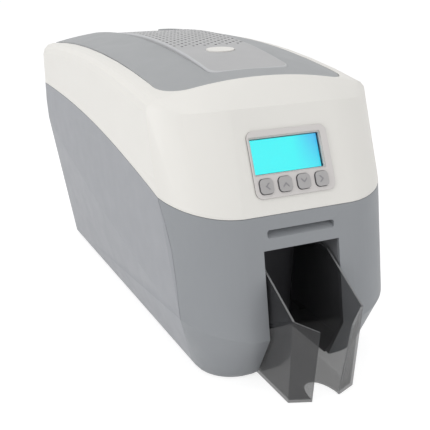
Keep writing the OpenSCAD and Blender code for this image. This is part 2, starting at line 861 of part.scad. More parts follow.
module stacker() {
    x0 = tray_x - tray_w / 2;
    x1 = tray_x + tray_w / 2;
    color("#3c3e42", 0.6)
        union() {
            tray_side(x0, 0);
            tray_side(x1 - tray_t, tray_flare);
            translate([0, 0, tray_z])
                linear_extrude(tray_t)
                    polygon(concat([[x0, tray_rear_y], [x0, tray_y], [tray_x - flap_gap / 2, flap_foot_y]],
                        [for (a = [180:-15:0]) [tray_x + flap_gap / 2 * cos(a), flap_foot_y + 25 * sin(a)]],
                        [[tray_x + flap_gap / 2, flap_foot_y], [x1, tray_y], [x1, tray_rear_y]]));
            for (s = [-1, 1])
                flap(s);
            x_box(x0, x1, tray_rear_y - tray_t, tray_rear_y, tray_z, 12);
            x_box(-mouth_hw - 1, x0 + eps, tray_rear_y - rail_l, tray_rear_y, rail_z, rail_z + rail_h);
            x_box(x1 - eps, mouth_hw + 1, tray_rear_y - rail_l, tray_rear_y, rail_z, rail_z + rail_h);
        }
}

module stacker_bay()
    color("#1c1c1e")
        difference() {
            rotate([90, 0, 90])
                linear_extrude(2 * (mouth_hw + bay_t), center = true)
                    polygon([[base_y + 7.5, foot_h + 0.2], [base_y + wall + 0.8, foot_h + 3.5 + wall],
                        [fascia_y(nose_z) + wall + 0.8, nose_z],
                        [fascia_y(mouth_z + bay_t) + wall + 0.4, mouth_z + bay_t],
                        [bay_rear + bay_t, mouth_z + bay_t], [bay_rear + bay_t, foot_h + 0.2]]);
            x_box(-mouth_hw, mouth_hw, -200, bay_rear, -1, mouth_z);
            x_box(-mouth_hw - 1 - slide_gap, mouth_hw + 1 + slide_gap, -200, bay_rear - 2,
                rail_z - slide_gap, rail_z + rail_h + slide_gap);
            x_box(-sleeve_hw - 1, sleeve_hw + 1, -140, bay_rear - 2, mouth_z - 1, mouth_z + bay_t + 1);
        }

// ---- frame and drive -------------------------------------------------------------------------

// Shaft places in both frame plates
shaft_spots = [[exit_y, drive_z], [exit_y, pinch_z], [platen_y, platen_z], [feed_y, drive_z],
    [feed_y, pinch_z], [clean_y, drive_z], [clean_y, clean_z], [supply_y, spool_z], [takeup_y, spool_z]];

module base_tray()
    color("#aeb2b5")
        union() {
            difference() {
                x_box(-base_hw, base_hw, frame_y + 5, 210, floor_z, tray_top);
                for (x = [-48:8:48])
                    x_box(x - 1.5, x + 1.5, 20, 60, floor_z - 1, tray_top + 1);
            }
            for (x = [-40, 40])
                for (y = [-74, 12, 94])
                    translate([x, y, tray_top - eps])
                        cylinder(r = 3, h = board_z - tray_top, $fn = 32);
        }

// Side plate with inner face at x0, holes for the bushes and windows
module frame_plate(x0)
    difference() {
        translate([x0, 0, 0])
            rotate([90, 0, 90])
                linear_extrude(frame_t)
                    polygon([[frame_y, tray_top], [frame_rear_y - 2, tray_top], [frame_rear_y, frame_low_z],
                        [frame_step_y, frame_low_z], [frame_step_y, frame_z], [frame_y, frame_z]]);
        for (p = shaft_spots)
            x_rod(p[0], p[1], x0 - 1, x0 + frame_t + 1, bush_r + snug);
        for (w = [[-84, -60, 20, 84], [-36, -22, 20, 98], [44, 68, 20, 100], [80, 104, 20, 100],
            [130, 154, 20, 96], [164, 188, 20, 96]])
            x_box(x0 - 1, x0 + frame_t + 1, w[0], w[1], w[2], w[3]);
    }

module frame_left()
    color("#b9bcbf")
        difference() {
            frame_plate(-frame_x - frame_t);
            x_rod(motor_y, motor_z, -frame_x - frame_t - 1, -frame_x + 1, 11 + fit);
        }

module frame_right()
    color("#b9bcbf")
        difference() {
            frame_plate(frame_x);
            x_rod(takeup_y, ribbon_motor_z, frame_x - 1, frame_x + frame_t + 1, 5 + fit);
            x_rod(takeup_y, idler_z, frame_x - 1, frame_x + frame_t + 1, shaft_r + fit);
        }

module tie_bars()
    color("#c3c6c8")
        for (p = [[-88, 60], [110, 50], [110, 165]])
            x_rod(p[0], p[1], -frame_x, frame_x, 3);

module bushes()
    color("#c9a45c")
        difference() {
            for (p = shaft_spots)
                for (s = [-1, 1]) {
                    x_rod(p[0], p[1], s < 0 ? -frame_x - frame_t : frame_x - eps,
                        s < 0 ? -frame_x + eps : frame_x + frame_t, bush_r);
                    x_rod(p[0], p[1], s < 0 ? -frame_x : frame_x - 1.2, s < 0 ? -frame_x + 1.2 : frame_x, 5.6);
                }
            for (p = shaft_spots)
                x_rod(p[0], p[1], -frame_x - 3, frame_x + 3, shaft_r + fit);
        }

// Shaft between the frames with collars and a covered middle; left is how far it passes the frame
module roller(y, z, r, left) {
    x_rod(y, z, -frame_x - frame_t - left, frame_x + frame_t, shaft_r);
    x_rod(y, z, -sleeve_hw, sleeve_hw, r);
    for (s = [-1, 1])
        x_rod(y, z, s < 0 ? -frame_x + 1.5 : frame_x - 3.5, s < 0 ? -frame_x + 3.5 : frame_x - 1.5, 4);
}

module pulley(y, z, r, x) {
    x_rod(y, z, x - belt_w / 2 - 0.9, x + belt_w / 2 + 0.9, r);
    for (s = [-1, 1])
        x_rod(y, z, x + s * (belt_w / 2 + 0.6) - 0.3, x + s * (belt_w / 2 + 0.6) + 0.3, r + 2.2);
}

module exit_roller()
    color("#3a3a3c")
        union() {
            roller(exit_y, drive_z, drive_r, 7);
            pulley(exit_y, drive_z, roll_pulley_r, belt_x);
        }

module exit_pinch_roller()
    color("#77797c")
        roller(exit_y, pinch_z, pinch_r, 0);

module platen_roller()
    color("#2c2c2e")
        union() {
            roller(platen_y, platen_z, platen_r, 13);
            pulley(platen_y, platen_z, platen_pulley_r, belt_x);
            pulley(platen_y, platen_z, platen_pulley_r, belt_outer_x);
        }

module feed_roller()
    color("#3a3a3c")
        union() {
            roller(feed_y, drive_z, drive_r, 7);
            pulley(feed_y, drive_z, roll_pulley_r, belt_x);
        }

module feed_pinch_roller()
    color("#77797c")
        roller(feed_y, pinch_z, pinch_r, 0);

module cleaning_roller()
    color("#3c7fc0")
        roller(clean_y, clean_z, clean_r, 0);

module cleaning_idler()
    color("#3a3a3c")
        union() {
            roller(clean_y, drive_z, drive_r, 13);
            pulley(clean_y, drive_z, roll_pulley_r, belt_x);
            pulley(clean_y, drive_z, roll_pulley_r, belt_outer_x);
        }

module pick_roller()
    color("#3a3a3c")
        union() {
            x_rod(pick_y, pick_z, belt_outer_x - 4, mag_hw + mag_t + 6, shaft_r);
            x_rod(pick_y, pick_z, -20, 20, pick_r);
            for (s = [-1, 1])
                x_rod(pick_y, pick_z, s < 0 ? -mag_hw + 0.5 : mag_hw - 2.5, s < 0 ? -mag_hw + 2.5 : mag_hw - 0.5, 4);
            pulley(pick_y, pick_z, roll_pulley_r, belt_outer_x);
        }

// Closed belt round the circles given as [y, z, r], centred at x
module belt(x, circles)
    translate([x - belt_w / 2, 0, 0])
        rotate([90, 0, 90])
            linear_extrude(belt_w)
                difference() {
                    hull()
                        for (c = circles)
                            translate([c[0], c[1]])
                                circle(r = c[2] + slide_gap + belt_t, $fn = 48);
                    hull()
                        for (c = circles)
                            translate([c[0], c[1]])
                                circle(r = c[2] + slide_gap, $fn = 48);
                }

module drive_belt()
    color("#232325")
        union() {
            belt(belt_x, [[exit_y, drive_z, roll_pulley_r], [platen_y, platen_z, platen_pulley_r],
                [clean_y, drive_z, roll_pulley_r]]);
            belt(belt_outer_x, [[motor_y, motor_z, motor_pulley_r], [platen_y, platen_z, platen_pulley_r]]);
            belt(belt_outer_x, [[clean_y, drive_z, roll_pulley_r], [pick_y, pick_z, roll_pulley_r]]);
        }

module drive_motor()
    color("#3b3c40")
        difference() {
            union() {
                x_box(-frame_x, -frame_x + 38, motor_y - motor_w / 2, motor_y + motor_w / 2,
                    motor_z - motor_w / 2, motor_z + motor_w / 2);
                x_rod(motor_y, motor_z, -frame_x - frame_t, -frame_x + eps, 11);
            }
            for (a = [45:90:315])
                x_box(-frame_x + 9, -frame_x + 29, motor_y + 0.47 * motor_w * sign(cos(a)) - 2,
                    motor_y + 0.47 * motor_w * sign(cos(a)) + 2, motor_z + 0.47 * motor_w * sign(sin(a)) - 2,
                    motor_z + 0.47 * motor_w * sign(sin(a)) + 2);
            x_rod(motor_y, motor_z, -frame_x - 5, -frame_x + 8, shaft_r + fit);
        }

module motor_pulley()
    color("#c8cacc")
        union() {
            pulley(motor_y, motor_z, motor_pulley_r, belt_outer_x);
            x_rod(motor_y, motor_z, belt_outer_x - 4, -frame_x + 7.5, shaft_r);
        }

// Gear rim outline with tooth number 0 at the angle turn
module gear_outline(teeth, turn) {
    rp = gear_m * teeth / 2;
    root = rp - 1.25 * gear_m;
    tip = rp + 0.85 * gear_m;
    union() {
        circle(r = root, $fn = 96);
        for (i = [0:teeth - 1])
            rotate(turn + i * 360 / teeth)
                polygon([[root - 0.3, -1.0 * gear_m], [tip, -0.34 * gear_m], [tip, 0.34 * gear_m],
                    [root - 0.3, 1.0 * gear_m]]);
    }
}

module gear(y, z, teeth, turn)
    translate([gear_x, y, z])
        rotate([90, 0, 90])
            linear_extrude(gear_w)
                gear_outline(teeth, turn);

module spool(y, z, r)
    union() {
        x_rod(y, z, -frame_x - frame_t, frame_x + frame_t, shaft_r);
        x_rod(y, z, -spool_hw - 6, spool_hw + 6, core_r);
        x_rod(y, z, -spool_hw + 1, spool_hw - 1, r);
        for (s = [-1, 1])
            x_rod(y, z, s < 0 ? -spool_hw - 1.5 : spool_hw, s < 0 ? -spool_hw : spool_hw + 1.5, r + 2);
        for (s = [-1, 1])
            x_rod(y, z, s < 0 ? -frame_x + 1.5 : frame_x - 3.5, s < 0 ? -frame_x + 3.5 : frame_x - 1.5, 4);
    }

module supply_spool()
    color("#3d3358")
        spool(supply_y, spool_z, supply_r);

module takeup_spool()
    color("#3d3358")
        union() {
            spool(takeup_y, spool_z, takeup_r);
            x_rod(takeup_y, spool_z, frame_x + frame_t - eps, gear_x + gear_w + 1, shaft_r);
            gear(takeup_y, spool_z, gear_teeth, 0);
        }

module ribbon_idler()
    color("#e6e3da")
        union() {
            gear(takeup_y, idler_z, gear_teeth, 180 / gear_teeth);
            x_rod(takeup_y, idler_z, frame_x - 2, gear_x + gear_w + 1, shaft_r);
        }

module ribbon_pinion()
    color("#e6e3da")
        union() {
            gear(takeup_y, ribbon_motor_z, pinion_teeth, 0);
            x_rod(takeup_y, ribbon_motor_z, frame_x - 6, gear_x + gear_w + 1, 1.5);
        }

module ribbon_motor()
    color("#8d9094")
        difference() {
            union() {
                x_rod(takeup_y, ribbon_motor_z, frame_x - 32, frame_x, 12);
                x_rod(takeup_y, ribbon_motor_z, frame_x - eps, frame_x + frame_t, 5);
            }
            x_rod(takeup_y, ribbon_motor_z, frame_x - 7, frame_x + 5, 1.5 + fit);
        }

// Point where the film, coming from under circle 1, touches circle 0 from below; s = side of circle 1
function under(c0, c1, s) =
    let (dy = s * (c1[0] - c0[0]), dz = c1[1] - c0[1],
        n = atan2(dz, dy) - asin((c1[2] - c0[2]) / sqrt(dy * dy + dz * dz)) - 90)
    [c0[0] + s * c0[2] * cos(n), c0[1] + c0[2] * sin(n)];

function over(c0, c1, s) =
    let (dy = s * (c1[0] - c0[0]), dz = c1[1] - c0[1],
        n = atan2(dz, dy) - asin((c1[2] - c0[2]) / sqrt(dy * dy + dz * dz)) - 90)
    [c1[0] + s * c1[2] * cos(n), c1[1] + c1[2] * sin(n)];

module ribbon_film() {
    film_t = 0.3;
    rod = guide_r + slide_gap;
    film_z = path_z + card_t + 0.1;
    a0 = [platen_y + guide_off, guide_z, rod];
    a1 = [supply_y, spool_z, supply_r + slide_gap + 0.1];
    b0 = [platen_y - guide_off, guide_z, rod];
    b1 = [takeup_y, spool_z, takeup_r + slide_gap + 0.1];
    path = [over(b0, b1, -1), under(b0, b1, -1), [b0[0] + 0.9, guide_z - rod - 0.7], [platen_y - 9, film_z],
        [platen_y + 9, film_z], [a0[0] - 0.9, guide_z - rod - 0.7], under(a0, a1, 1), over(a0, a1, 1)];
    color("#5b4a86")
        translate([-spool_hw + 1.5, 0, 0])
            rotate([90, 0, 90])
                linear_extrude(2 * spool_hw - 3)
                    polygon(concat(path, [for (i = [7:-1:0]) path[i] - [0, film_t]]));
}

module ribbon_guides()
    color("#c3c6c8")
        for (s = [-1, 1])
            x_rod(platen_y + s * guide_off, guide_z, -frame_x, frame_x, guide_r);

module head_bracket()
    color("#3f4044")
        union() {
            difference() {
                x_box(-49, 49, -5, 34, plate_z, plate_z + 1.6);
                for (x = [-20, 0, 20])
                    x_box(x - 6, x + 6, 4, 24, plate_z - 1, plate_z + 3);
            }
            for (s = [-1, 1])
                difference() {
                    translate([s < 0 ? -bracket_x - 1.6 : bracket_x, 0, 0])
                        rotate([90, 0, 90])
                            linear_extrude(1.6)
                                polygon([[-4, plate_z + eps], [12, head_pin_z - 8], [head_pin_y + 7, head_pin_z - 8],
                                    [34, plate_z + eps]]);
                    x_rod(head_pin_y, head_pin_z, -60, 60, pin_r + snug);
                }
        }

module print_head()
    color("#55575c")
        difference() {
            translate([-bracket_x + 1.5, 0, 0])
                rotate([90, 0, 90])
                    linear_extrude(2 * bracket_x - 3)
                        polygon([[platen_y - 8, 127.6], [platen_y + 8, 127.6], [platen_y + 8, 132],
                            [platen_y + 15, 139], [platen_y + 22, head_pin_z - 6], [platen_y + 22, head_pin_z + 6],
                            [platen_y + 10, head_pin_z + 6], [platen_y + 6, 150], [platen_y - 6, 146],
                            [platen_y - 8, 132]]);
            x_rod(head_pin_y, head_pin_z, -60, 60, pin_r + fit);
            for (x = [-28:8:28])
                x_box(x - 2, x + 2, platen_y - 7, platen_y + 4, 136, 152);
        }

module head_pin()
    color("#c3c6c8")
        union() {
            x_rod(head_pin_y, head_pin_z, -bracket_x - 2, bracket_x + 2, pin_r);
            for (s = [-1, 1])
                x_rod(head_pin_y, head_pin_z, s < 0 ? -bracket_x - 3.4 : bracket_x + 1.6,
                    s < 0 ? -bracket_x - 1.6 : bracket_x + 3.4, 3.4);
        }

// ---- card feeder -----------------------------------------------------------------------------

module card_magazine()
    color("#2e2f33")
        difference() {
            union() {
                x_box(-frame_x - frame_t, frame_x + frame_t, 134, 210, frame_low_z, frame_low_z + 2);
                for (s = [-1, 1])
                    x_box(s < 0 ? -mag_hw - mag_t : mag_hw, s < 0 ? -mag_hw : mag_hw + mag_t,
                        mag_y, mag_rear_y, frame_low_z, mag_top);
                x_box(-mag_hw - mag_t, mag_hw + mag_t, mag_y - mag_t, mag_y + eps, frame_low_z, mag_top);
                x_box(-mag_hw - eps, mag_hw + eps, mag_y, mag_rear_y, path_z - 3, path_z);
            }
            x_box(-mag_hw + 0.4, mag_hw - 0.4, mag_y - mag_t - 1, mag_y + 1, path_z, path_z + card_t + 0.4);
            x_box(-21, 21, pick_y - 10, pick_y + 10, frame_low_z - 1, path_z + 1);
            x_box(-14, 14, mag_y - mag_t - 1, mag_y + 1, 150, mag_top + 1);
            x_rod(pick_y, pick_z, -40, 40, shaft_r + fit);
            x_box(-12, 12, 188, mag_rear_y + 1, path_z - 4, path_z + 1);
        }

module card_weight()
    color("#6d7075")
        union() {
            x_box(-mag_hw + 1, mag_hw - 1, mag_y + 4, mag_rear_y - 6, path_z + 0.8, path_z + 4);
            x_box(-7, 7, mag_rear_y - 14, mag_rear_y - 11, path_z + 4 - eps, path_z + 20);
        }

module feeder_door()
    color("#e9e9e6")
        difference() {
            union() {
                x_box(-door_hw, door_hw, rear_y - door_t, rear_y, door_z, door_top_z);
                x_rod(door_axis_y, door_axis_z, -door_hw, door_hw, 3.2);
                x_box(-12, 12, rear_y - eps, rear_y + grip_out, door_top_z - 12, door_top_z - 6);
                for (x = [-30, -10, 10, 30])
                    x_box(x - 0.8, x + 0.8, rear_y - door_t - 1.2, rear_y - door_t + eps, door_z + 8, door_top_z - 8);
            }
            x_rod(door_axis_y, door_axis_z, -60, 60, door_pin_r + fit);
            x_box(-30, 30, rear_y - 0.8, rear_y + 1, door_z + 20, door_top_z - 30);
        }

module door_pins()
    color("#b8babd")
        for (s = [-1, 1])
            x_rod(door_axis_y, door_axis_z, s < 0 ? -door_hw - 4 : door_hw - 8, s < 0 ? -door_hw + 8 : door_hw + 4,
                door_pin_r);

// ---- electronics and rear sockets ------------------------------------------------------------

module main_board()
    color("#2c6a44")
        union() {
            x_box(-46, 46, -80, 100, board_z, board_z + board_t);
            x_box(-12, 10, -20, 2, board_z + board_t - eps, board_z + board_t + 2.4);
            x_box(18, 34, -44, -28, board_z + board_t - eps, board_z + board_t + 2);
            for (y = [-70:22:62])
                x_box(-44, -36, y, y + 14, board_z + board_t - eps, board_z + board_t + 8);
            x_box(14, 40, 78, 98, board_z + board_t - eps, board_z + board_t + 9);
            for (x = [-24, -10])
                translate([x, 84, board_z + board_t - eps])
                    cylinder(r = 5, h = 16, $fn = 32);
        }

module power_supply()
    color("#a9adb0")
        difference() {
            x_box(-45, 45, 112, 198, tray_top, 46);
            x_box(-43.5, 43.5, 113.5, 196.5, tray_top + 1.5, 44.5);
            for (x = [-32:8:32])
                x_box(x - 1.5, x + 1.5, 124, 186, 40, 50);
        }

module power_inlet()
    color("#1f1f21")
        difference() {
            union() {
                x_box(inlet_x - 13.6, inlet_x + 13.6, rear_y - 20, rear_y + eps, inlet_z - 10.1, inlet_z + 10.1);
                x_box(inlet_x - 16, inlet_x + 16, rear_y, rear_y + 1.6, inlet_z - 12, inlet_z + 12);
                x_box(inlet_x - 9.3, inlet_x + 9.3, rear_y - 18, rear_y + eps, switch_z - 6.3, switch_z + 6.3);
                x_box(inlet_x - 11, inlet_x + 11, rear_y, rear_y + 1.2, switch_z - 8, switch_z + 8);
            }
            x_box(inlet_x - 8.9, inlet_x + 8.9, rear_y - 14, rear_y + 3, switch_z - 5.8, switch_z + 5.8);
            translate([inlet_x, rear_y - 6, switch_z - 10])
                cylinder(r = 1.2 + fit, h = 20, $fn = 32);
            difference() {
                translate([0, rear_y + 3, 0])
                    rotate([90, 0, 0])
                        linear_extrude(18)
                            polygon([[inlet_x - 12, inlet_z - 8], [inlet_x + 12, inlet_z - 8],
                                [inlet_x + 12, inlet_z + 3], [inlet_x + 7, inlet_z + 8],
                                [inlet_x - 7, inlet_z + 8], [inlet_x - 12, inlet_z + 3]]);
                for (p = [[0, 3], [-7, -2], [7, -2]])
                    x_box(inlet_x + p[0] - 1, inlet_x + p[0] + 1, rear_y - 16, rear_y - 3,
                        inlet_z + p[1] - 2.2, inlet_z + p[1] + 2.2);
            }
        }

module power_switch()
    color("#b3322c")
        translate([inlet_x, rear_y - 6, switch_z])
            union() {
                rotate(-7)
                    translate([0, 0, -5.4])
                        linear_extrude(10.8)
                            polygon([[-7.4, 7.6], [0, 6.7], [7.4, 7.6], [6.4, 0], [2.4, -3.6], [-2.4, -3.6], [-6.4, 0]]);
                translate([0, 0, -6.2])
                    cylinder(r = 1.2, h = 12.4, $fn = 32);
            }

module data_sockets()
    color("#c6c8ca")
        difference() {
            x_box(socket_x - 21.6, socket_x + 21.6, rear_y - 17, rear_y + 0.4, socket_z - 8.6, socket_z + 8.6);
            x_box(socket_x - 17.5, socket_x - 5.5, rear_y - 14, rear_y + 1, socket_z - 5.5, socket_z + 5.5);
            x_box(socket_x + 1, socket_x + 17, rear_y - 14, rear_y + 1, socket_z - 6.5, socket_z + 6.5);
        }

// ---- parts ----------------------------------------------------------------------------------

lower_housing();
front_fascia();
upper_cover();
rear_panel();
lid_cover();
lid_panel();
release_button();
latch_bar();
hinge_pins();
display_bezel();
display_window();
display_module();
key_board();
key_left();
key_up_arrow();
key_down_arrow();
key_right();
stacker();
stacker_bay();
rubber_feet();
base_tray();
frame_left();
frame_right();
tie_bars();
bushes();
exit_roller();
exit_pinch_roller();
platen_roller();
feed_roller();
feed_pinch_roller();
cleaning_roller();
cleaning_idler();
pick_roller();
supply_spool();
takeup_spool();
ribbon_film();
ribbon_guides();
head_bracket();
print_head();
head_pin();
drive_motor();
motor_pulley();
drive_belt();
ribbon_motor();
ribbon_pinion();
ribbon_idler();
card_magazine();
card_weight();
feeder_door();
door_pins();
main_board();
power_supply();
power_inlet();
power_switch();
data_sockets();
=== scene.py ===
"""Desktop ID card printer: finishes, soft edges, small details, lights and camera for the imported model."""

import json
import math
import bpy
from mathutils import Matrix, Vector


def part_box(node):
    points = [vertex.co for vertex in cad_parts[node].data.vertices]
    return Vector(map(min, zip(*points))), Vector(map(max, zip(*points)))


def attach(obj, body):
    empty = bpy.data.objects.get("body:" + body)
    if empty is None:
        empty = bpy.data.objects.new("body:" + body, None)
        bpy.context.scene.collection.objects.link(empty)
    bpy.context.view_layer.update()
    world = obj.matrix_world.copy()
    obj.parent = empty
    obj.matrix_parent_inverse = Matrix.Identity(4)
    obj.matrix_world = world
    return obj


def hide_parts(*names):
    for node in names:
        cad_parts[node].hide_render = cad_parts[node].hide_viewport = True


bl_info = {
    "name": "ID Card Printer",
    "version": (1, 0, 0),
    "blender": (4, 5, 0),
    "location": "View3D > Sidebar > Card Printer",
    "description": "Dresses the packed card printer with finishes, soft edges and small details",
    "category": "Object",
}

import bmesh
import bpy
from mathutils import Euler, Matrix, Vector

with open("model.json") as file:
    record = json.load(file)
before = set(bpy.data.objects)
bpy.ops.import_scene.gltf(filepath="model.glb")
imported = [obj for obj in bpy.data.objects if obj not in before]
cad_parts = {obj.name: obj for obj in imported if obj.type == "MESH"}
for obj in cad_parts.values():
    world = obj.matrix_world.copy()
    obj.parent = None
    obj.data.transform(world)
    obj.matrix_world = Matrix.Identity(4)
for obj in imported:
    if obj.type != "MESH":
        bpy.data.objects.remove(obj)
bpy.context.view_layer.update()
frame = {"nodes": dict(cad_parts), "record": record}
NODES = frame["nodes"]
MATERIALS = {}

# ---- places and sizes, in metres, in the object's frame ------------------------------------------

# Sloping front, from the seam up to the shoulder
SEAM_Y, SEAM_Z = -0.168, 0.139
SHOULDER_Y, SHOULDER_Z = -0.1335, 0.216
LEAN = math.atan2(SHOULDER_Y - SEAM_Y, SHOULDER_Z - SEAM_Z)
# From the slope's own frame (across, up the slope, out) to the object's, back again, and the way out
FACE = Matrix.Translation((0, SEAM_Y, SEAM_Z)) @ Matrix.Rotation(math.pi / 2 - LEAN, 4, "X")
TO_FACE = FACE.inverted()
OUTWARD = FACE.to_3x3() @ Vector((0, 0, 1))

# Display's opening on the slope: its middle, width and height, then the thickness and span of the dark sheet
# of painted shade on its walls
VIEW_X, VIEW_S, VIEW_W, VIEW_H = -0.0022, 0.046, 0.062, 0.028
OPENING_SHADE, OPENING_SHADE_LOW, OPENING_SHADE_TOP = 0.00045, -0.0031, -0.0012
# Field of the slope where the bezel's sides get no painted shade: half its width, its low end and its high
# end
BEZEL_FIELD = (0.0345, 0.0145, 0.0645)
# Row of keys up the slope, the keys' tops, and the chevrons on them with the degrees they point along
KEY_S, KEY_TOP = 0.0224, 0.0026
CHEVRON_REACH, CHEVRON_STROKE, CHEVRON_HEIGHT = 0.0026, 0.00154, 0.00022
KEY_TURNS = {"key_left": 180, "key_up_arrow": 90, "key_down_arrow": 270, "key_right": 0}

# Lid panel: its rim lies past this half width or in front of this depth, with this radius to its edge,
# and its vents lie behind VENT_Y
PANEL_RIM_X, PANEL_RIM_Y, PANEL_RIM_R, VENT_Y = 0.0354, -0.0755, 0.0015, -0.008

# Stacker: a face with less area than THIN_FACE times its outline is a cut edge, but not a flap's face,
# whose normal has at least FLAP_FACING along Y
THIN_FACE, FLAP_FACING = 0.0009, 0.75

# Rear face, the data sockets' middle and the rim round them, and the inlet's pins: where they stand,
# half their width and height, and how far in they start
REAR_Y = 0.222
SOCKETS_AT = (0.034, 0.04)
SOCKET_RIM_X, SOCKET_RIM_Y, SOCKET_RIM_Z = 0.002, 0.0003, 0.001
INLET_PINS = ((-0.04, 0.047), (-0.047, 0.042), (-0.033, 0.042))
PIN_HALF_X, PIN_HALF_Z, PIN_DEPTH = 0.00105, 0.00225, 0.0165
# Tongue in the square socket: its size, and its middle from SOCKETS_AT and the rear face
TONGUE_SIZE, TONGUE_X, TONGUE_DEPTH = (0.0056, 0.0086, 0.0032), -0.0115, 0.0098
# Sprung wires in the wide socket: their number, sizes and slope, and the row's middle in the same way
WIRES, WIRE_R, WIRE_LENGTH, WIRE_PITCH, WIRE_SLOPE = 8, 0.00023, 0.0095, 0.00127, 72
WIRES_X, WIRES_DEPTH, WIRES_UP = 0.009, 0.0085, 0.0042
# Height over the main board's underside past which its faces are chips
BOARD_TOP = 0.0019

# Roundings of small parts, those of larger ones by the edge radius that a user sets, and the angles in
# degrees past which an edge is crisp
FINE_EDGE, MODULE_EDGE, TRAY_EDGE, CHEVRON_EDGE = 0.0003, 0.0002, 0.00035, 0.000088
LID_EDGES, BUTTON_EDGES, BEZEL_EDGES = 1.4, 1.2, 0.9
SHELL_ANGLE, PLAIN_ANGLE, DETAIL_ANGLE = 24.0, 30.0, 32.0
# Cosine of the angle between a face's normal and a direction: below ALONG the face runs along the
# direction, and above ACROSS or SQUARE it lies across it
ALONG, ACROSS, SQUARE = 0.3, 0.7, 0.9
# Distance within which loose corners are one, and the angle in degrees within which faces are flat
WELD, FLAT_ANGLE = 0.000002, 0.3

SHELL_NODES = ("lower_housing", "front_fascia", "upper_cover")
TURNED_NODES = ("exit_roller", "exit_pinch_roller", "platen_roller", "feed_roller", "feed_pinch_roller",
                "cleaning_roller", "cleaning_idler", "pick_roller", "supply_spool", "takeup_spool",
                "ribbon_guides", "tie_bars", "head_pin", "motor_pulley", "drive_belt", "ribbon_motor",
                "rubber_feet", "bushes")
BOXY_NODES = ("print_head", "head_bracket", "card_magazine", "drive_motor", "feeder_door", "rear_panel",
              "power_switch", "card_weight", "latch_bar")

# Stage: the camera, half the floor's side with the shares of light it throws back where a ray only
# lights the printer and where it is seen, and its glow, then the lights' places and sizes with the point
# they face
CAMERA_AT, CAMERA_TILT, CAMERA_TURN = (-0.3095, -0.6625, 0.343), 70.3, -25.5
SENSOR, CLIP_START = 36.0, 0.01
FLOOR_HALF, FLOOR_LIT, FLOOR_SEEN, FLOOR_GLOW = 4.0, 0.9, 0.4, 0.8
LIGHTS = {
    "Key": ((-1.82, -0.2, 0.95), 1.2),
    "Fill": ((0.55, -1.75, 0.9), 1.4),
    "Top": ((0.0, 0.1, 1.9), 1.6),
}
LIGHTS_FACE = Vector((0, 0, 0.12))
WHITE = (1, 1, 1, 1)

# Noise scales per metre for the drift of colour, the change of sheen and a mould's grain, then the
# grain's depth and strength, and the middle range that a noise takes
DRIFT, SHEEN, GRAIN = 14.0, 60.0, 1500.0
GRAIN_DEPTH, GRAIN_STRENGTH = 0.00002, 0.35
NOISE_LOW, NOISE_HIGH = 0.3, 0.7
# Dye panels along the film, where the lit display turns bluer to the right and upwards, and the depths
# between which shade is painted ever darker into the stacker's bay
DYES = ("#e3c425", "#b8326e", "#2a7fb4", "#1e1e20", "#cfc9c2")
DYE_START, DYE_PITCH = -0.046, 0.022
BLUER_X, BLUER_Z = (0.006, 0.03), (0.155, 0.19)
BAY_FRONT, BAY_DEEP = -0.152, -0.12


# ---- materials -----------------------------------------------------------------------------------

class Graph:
    """The node tree of a material or a world, with short calls for its nodes and links."""

    def __init__(self, owner, output="ShaderNodeOutputMaterial"):
        owner.use_nodes = True
        self.owner = owner
        self.tree = owner.node_tree
        self.tree.nodes.clear()
        self.surface = self.node(output).inputs["Surface"]

    def node(self, kind, **settings):
        """A node with its settings, each a property of the node or else the value of an input."""
        made = self.tree.nodes.new(kind)
        for key, value in settings.items():
            if hasattr(made, key):
                setattr(made, key, value)
            else:
                made.inputs[key.replace("_", " ")].default_value = value
        return made

    def link(self, source, target):
        self.tree.links.new(source, target)

    def object_coordinates(self):
        return self.node("ShaderNodeTexCoord").outputs["Object"]

    def noise(self, scale, detail, vector=None):
        made = self.node("ShaderNodeTexNoise", Scale=scale, Detail=detail)
        self.link(vector or self.object_coordinates(), made.inputs["Vector"])
        return made.outputs["Fac"]

    def along(self, axis, start, end):
        """0 before start and 1 past end, in metres along one of the object's axes."""
        split = self.node("ShaderNodeSeparateXYZ")
        self.link(self.object_coordinates(), split.inputs["Vector"])
        made = self.node("ShaderNodeMapRange", From_Min=start, From_Max=end)
        self.link(split.outputs[axis], made.inputs["Value"])
        return made.outputs["Result"]

    def span(self, noise, low, high):
        """A noise's middle range, spread from low to high."""
        made = self.node("ShaderNodeMapRange", From_Min=NOISE_LOW, From_Max=NOISE_HIGH,
                         To_Min=low, To_Max=high)
        self.link(noise, made.inputs["Value"])
        return made.outputs["Result"]

    def mixed(self, fac, first, second):
        """A colour from the first to the second by a factor."""
        made = self.node("ShaderNodeMix", data_type="RGBA", A=first, B=second)
        self.link(fac, made.inputs["Factor"])
        return made.outputs["Result"]

    def bump(self, height, strength, distance):
        made = self.node("ShaderNodeBump", Strength=strength, Distance=distance)
        self.link(height, made.inputs["Height"])
        return made.outputs["Normal"]

    def principled(self, **settings):
        made = self.node("ShaderNodeBsdfPrincipled", **settings)
        self.link(made.outputs["BSDF"], self.surface)
        return made

    def seen_or_lit(self, seen, lit):
        """One shader for rays from the camera, glossy faces and clear pieces, and another for the rest."""
        path = self.node("ShaderNodeLightPath")
        is_seen = path.outputs["Is Camera Ray"]
        for kind in ("Is Glossy Ray", "Is Transmission Ray"):
            either = self.node("ShaderNodeMath", operation="MAXIMUM")
            self.link(is_seen, either.inputs[0])
            self.link(path.outputs[kind], either.inputs[1])
            is_seen = either.outputs[0]
        mix = self.node("ShaderNodeMixShader")
        self.link(is_seen, mix.inputs["Fac"])
        self.link(lit.outputs[0], mix.inputs[1])
        self.link(seen.outputs[0], mix.inputs[2])
        self.link(mix.outputs[0], self.surface)


def new_graph(name):
    """A new material's graph."""
    return Graph(bpy.data.materials.new(name))


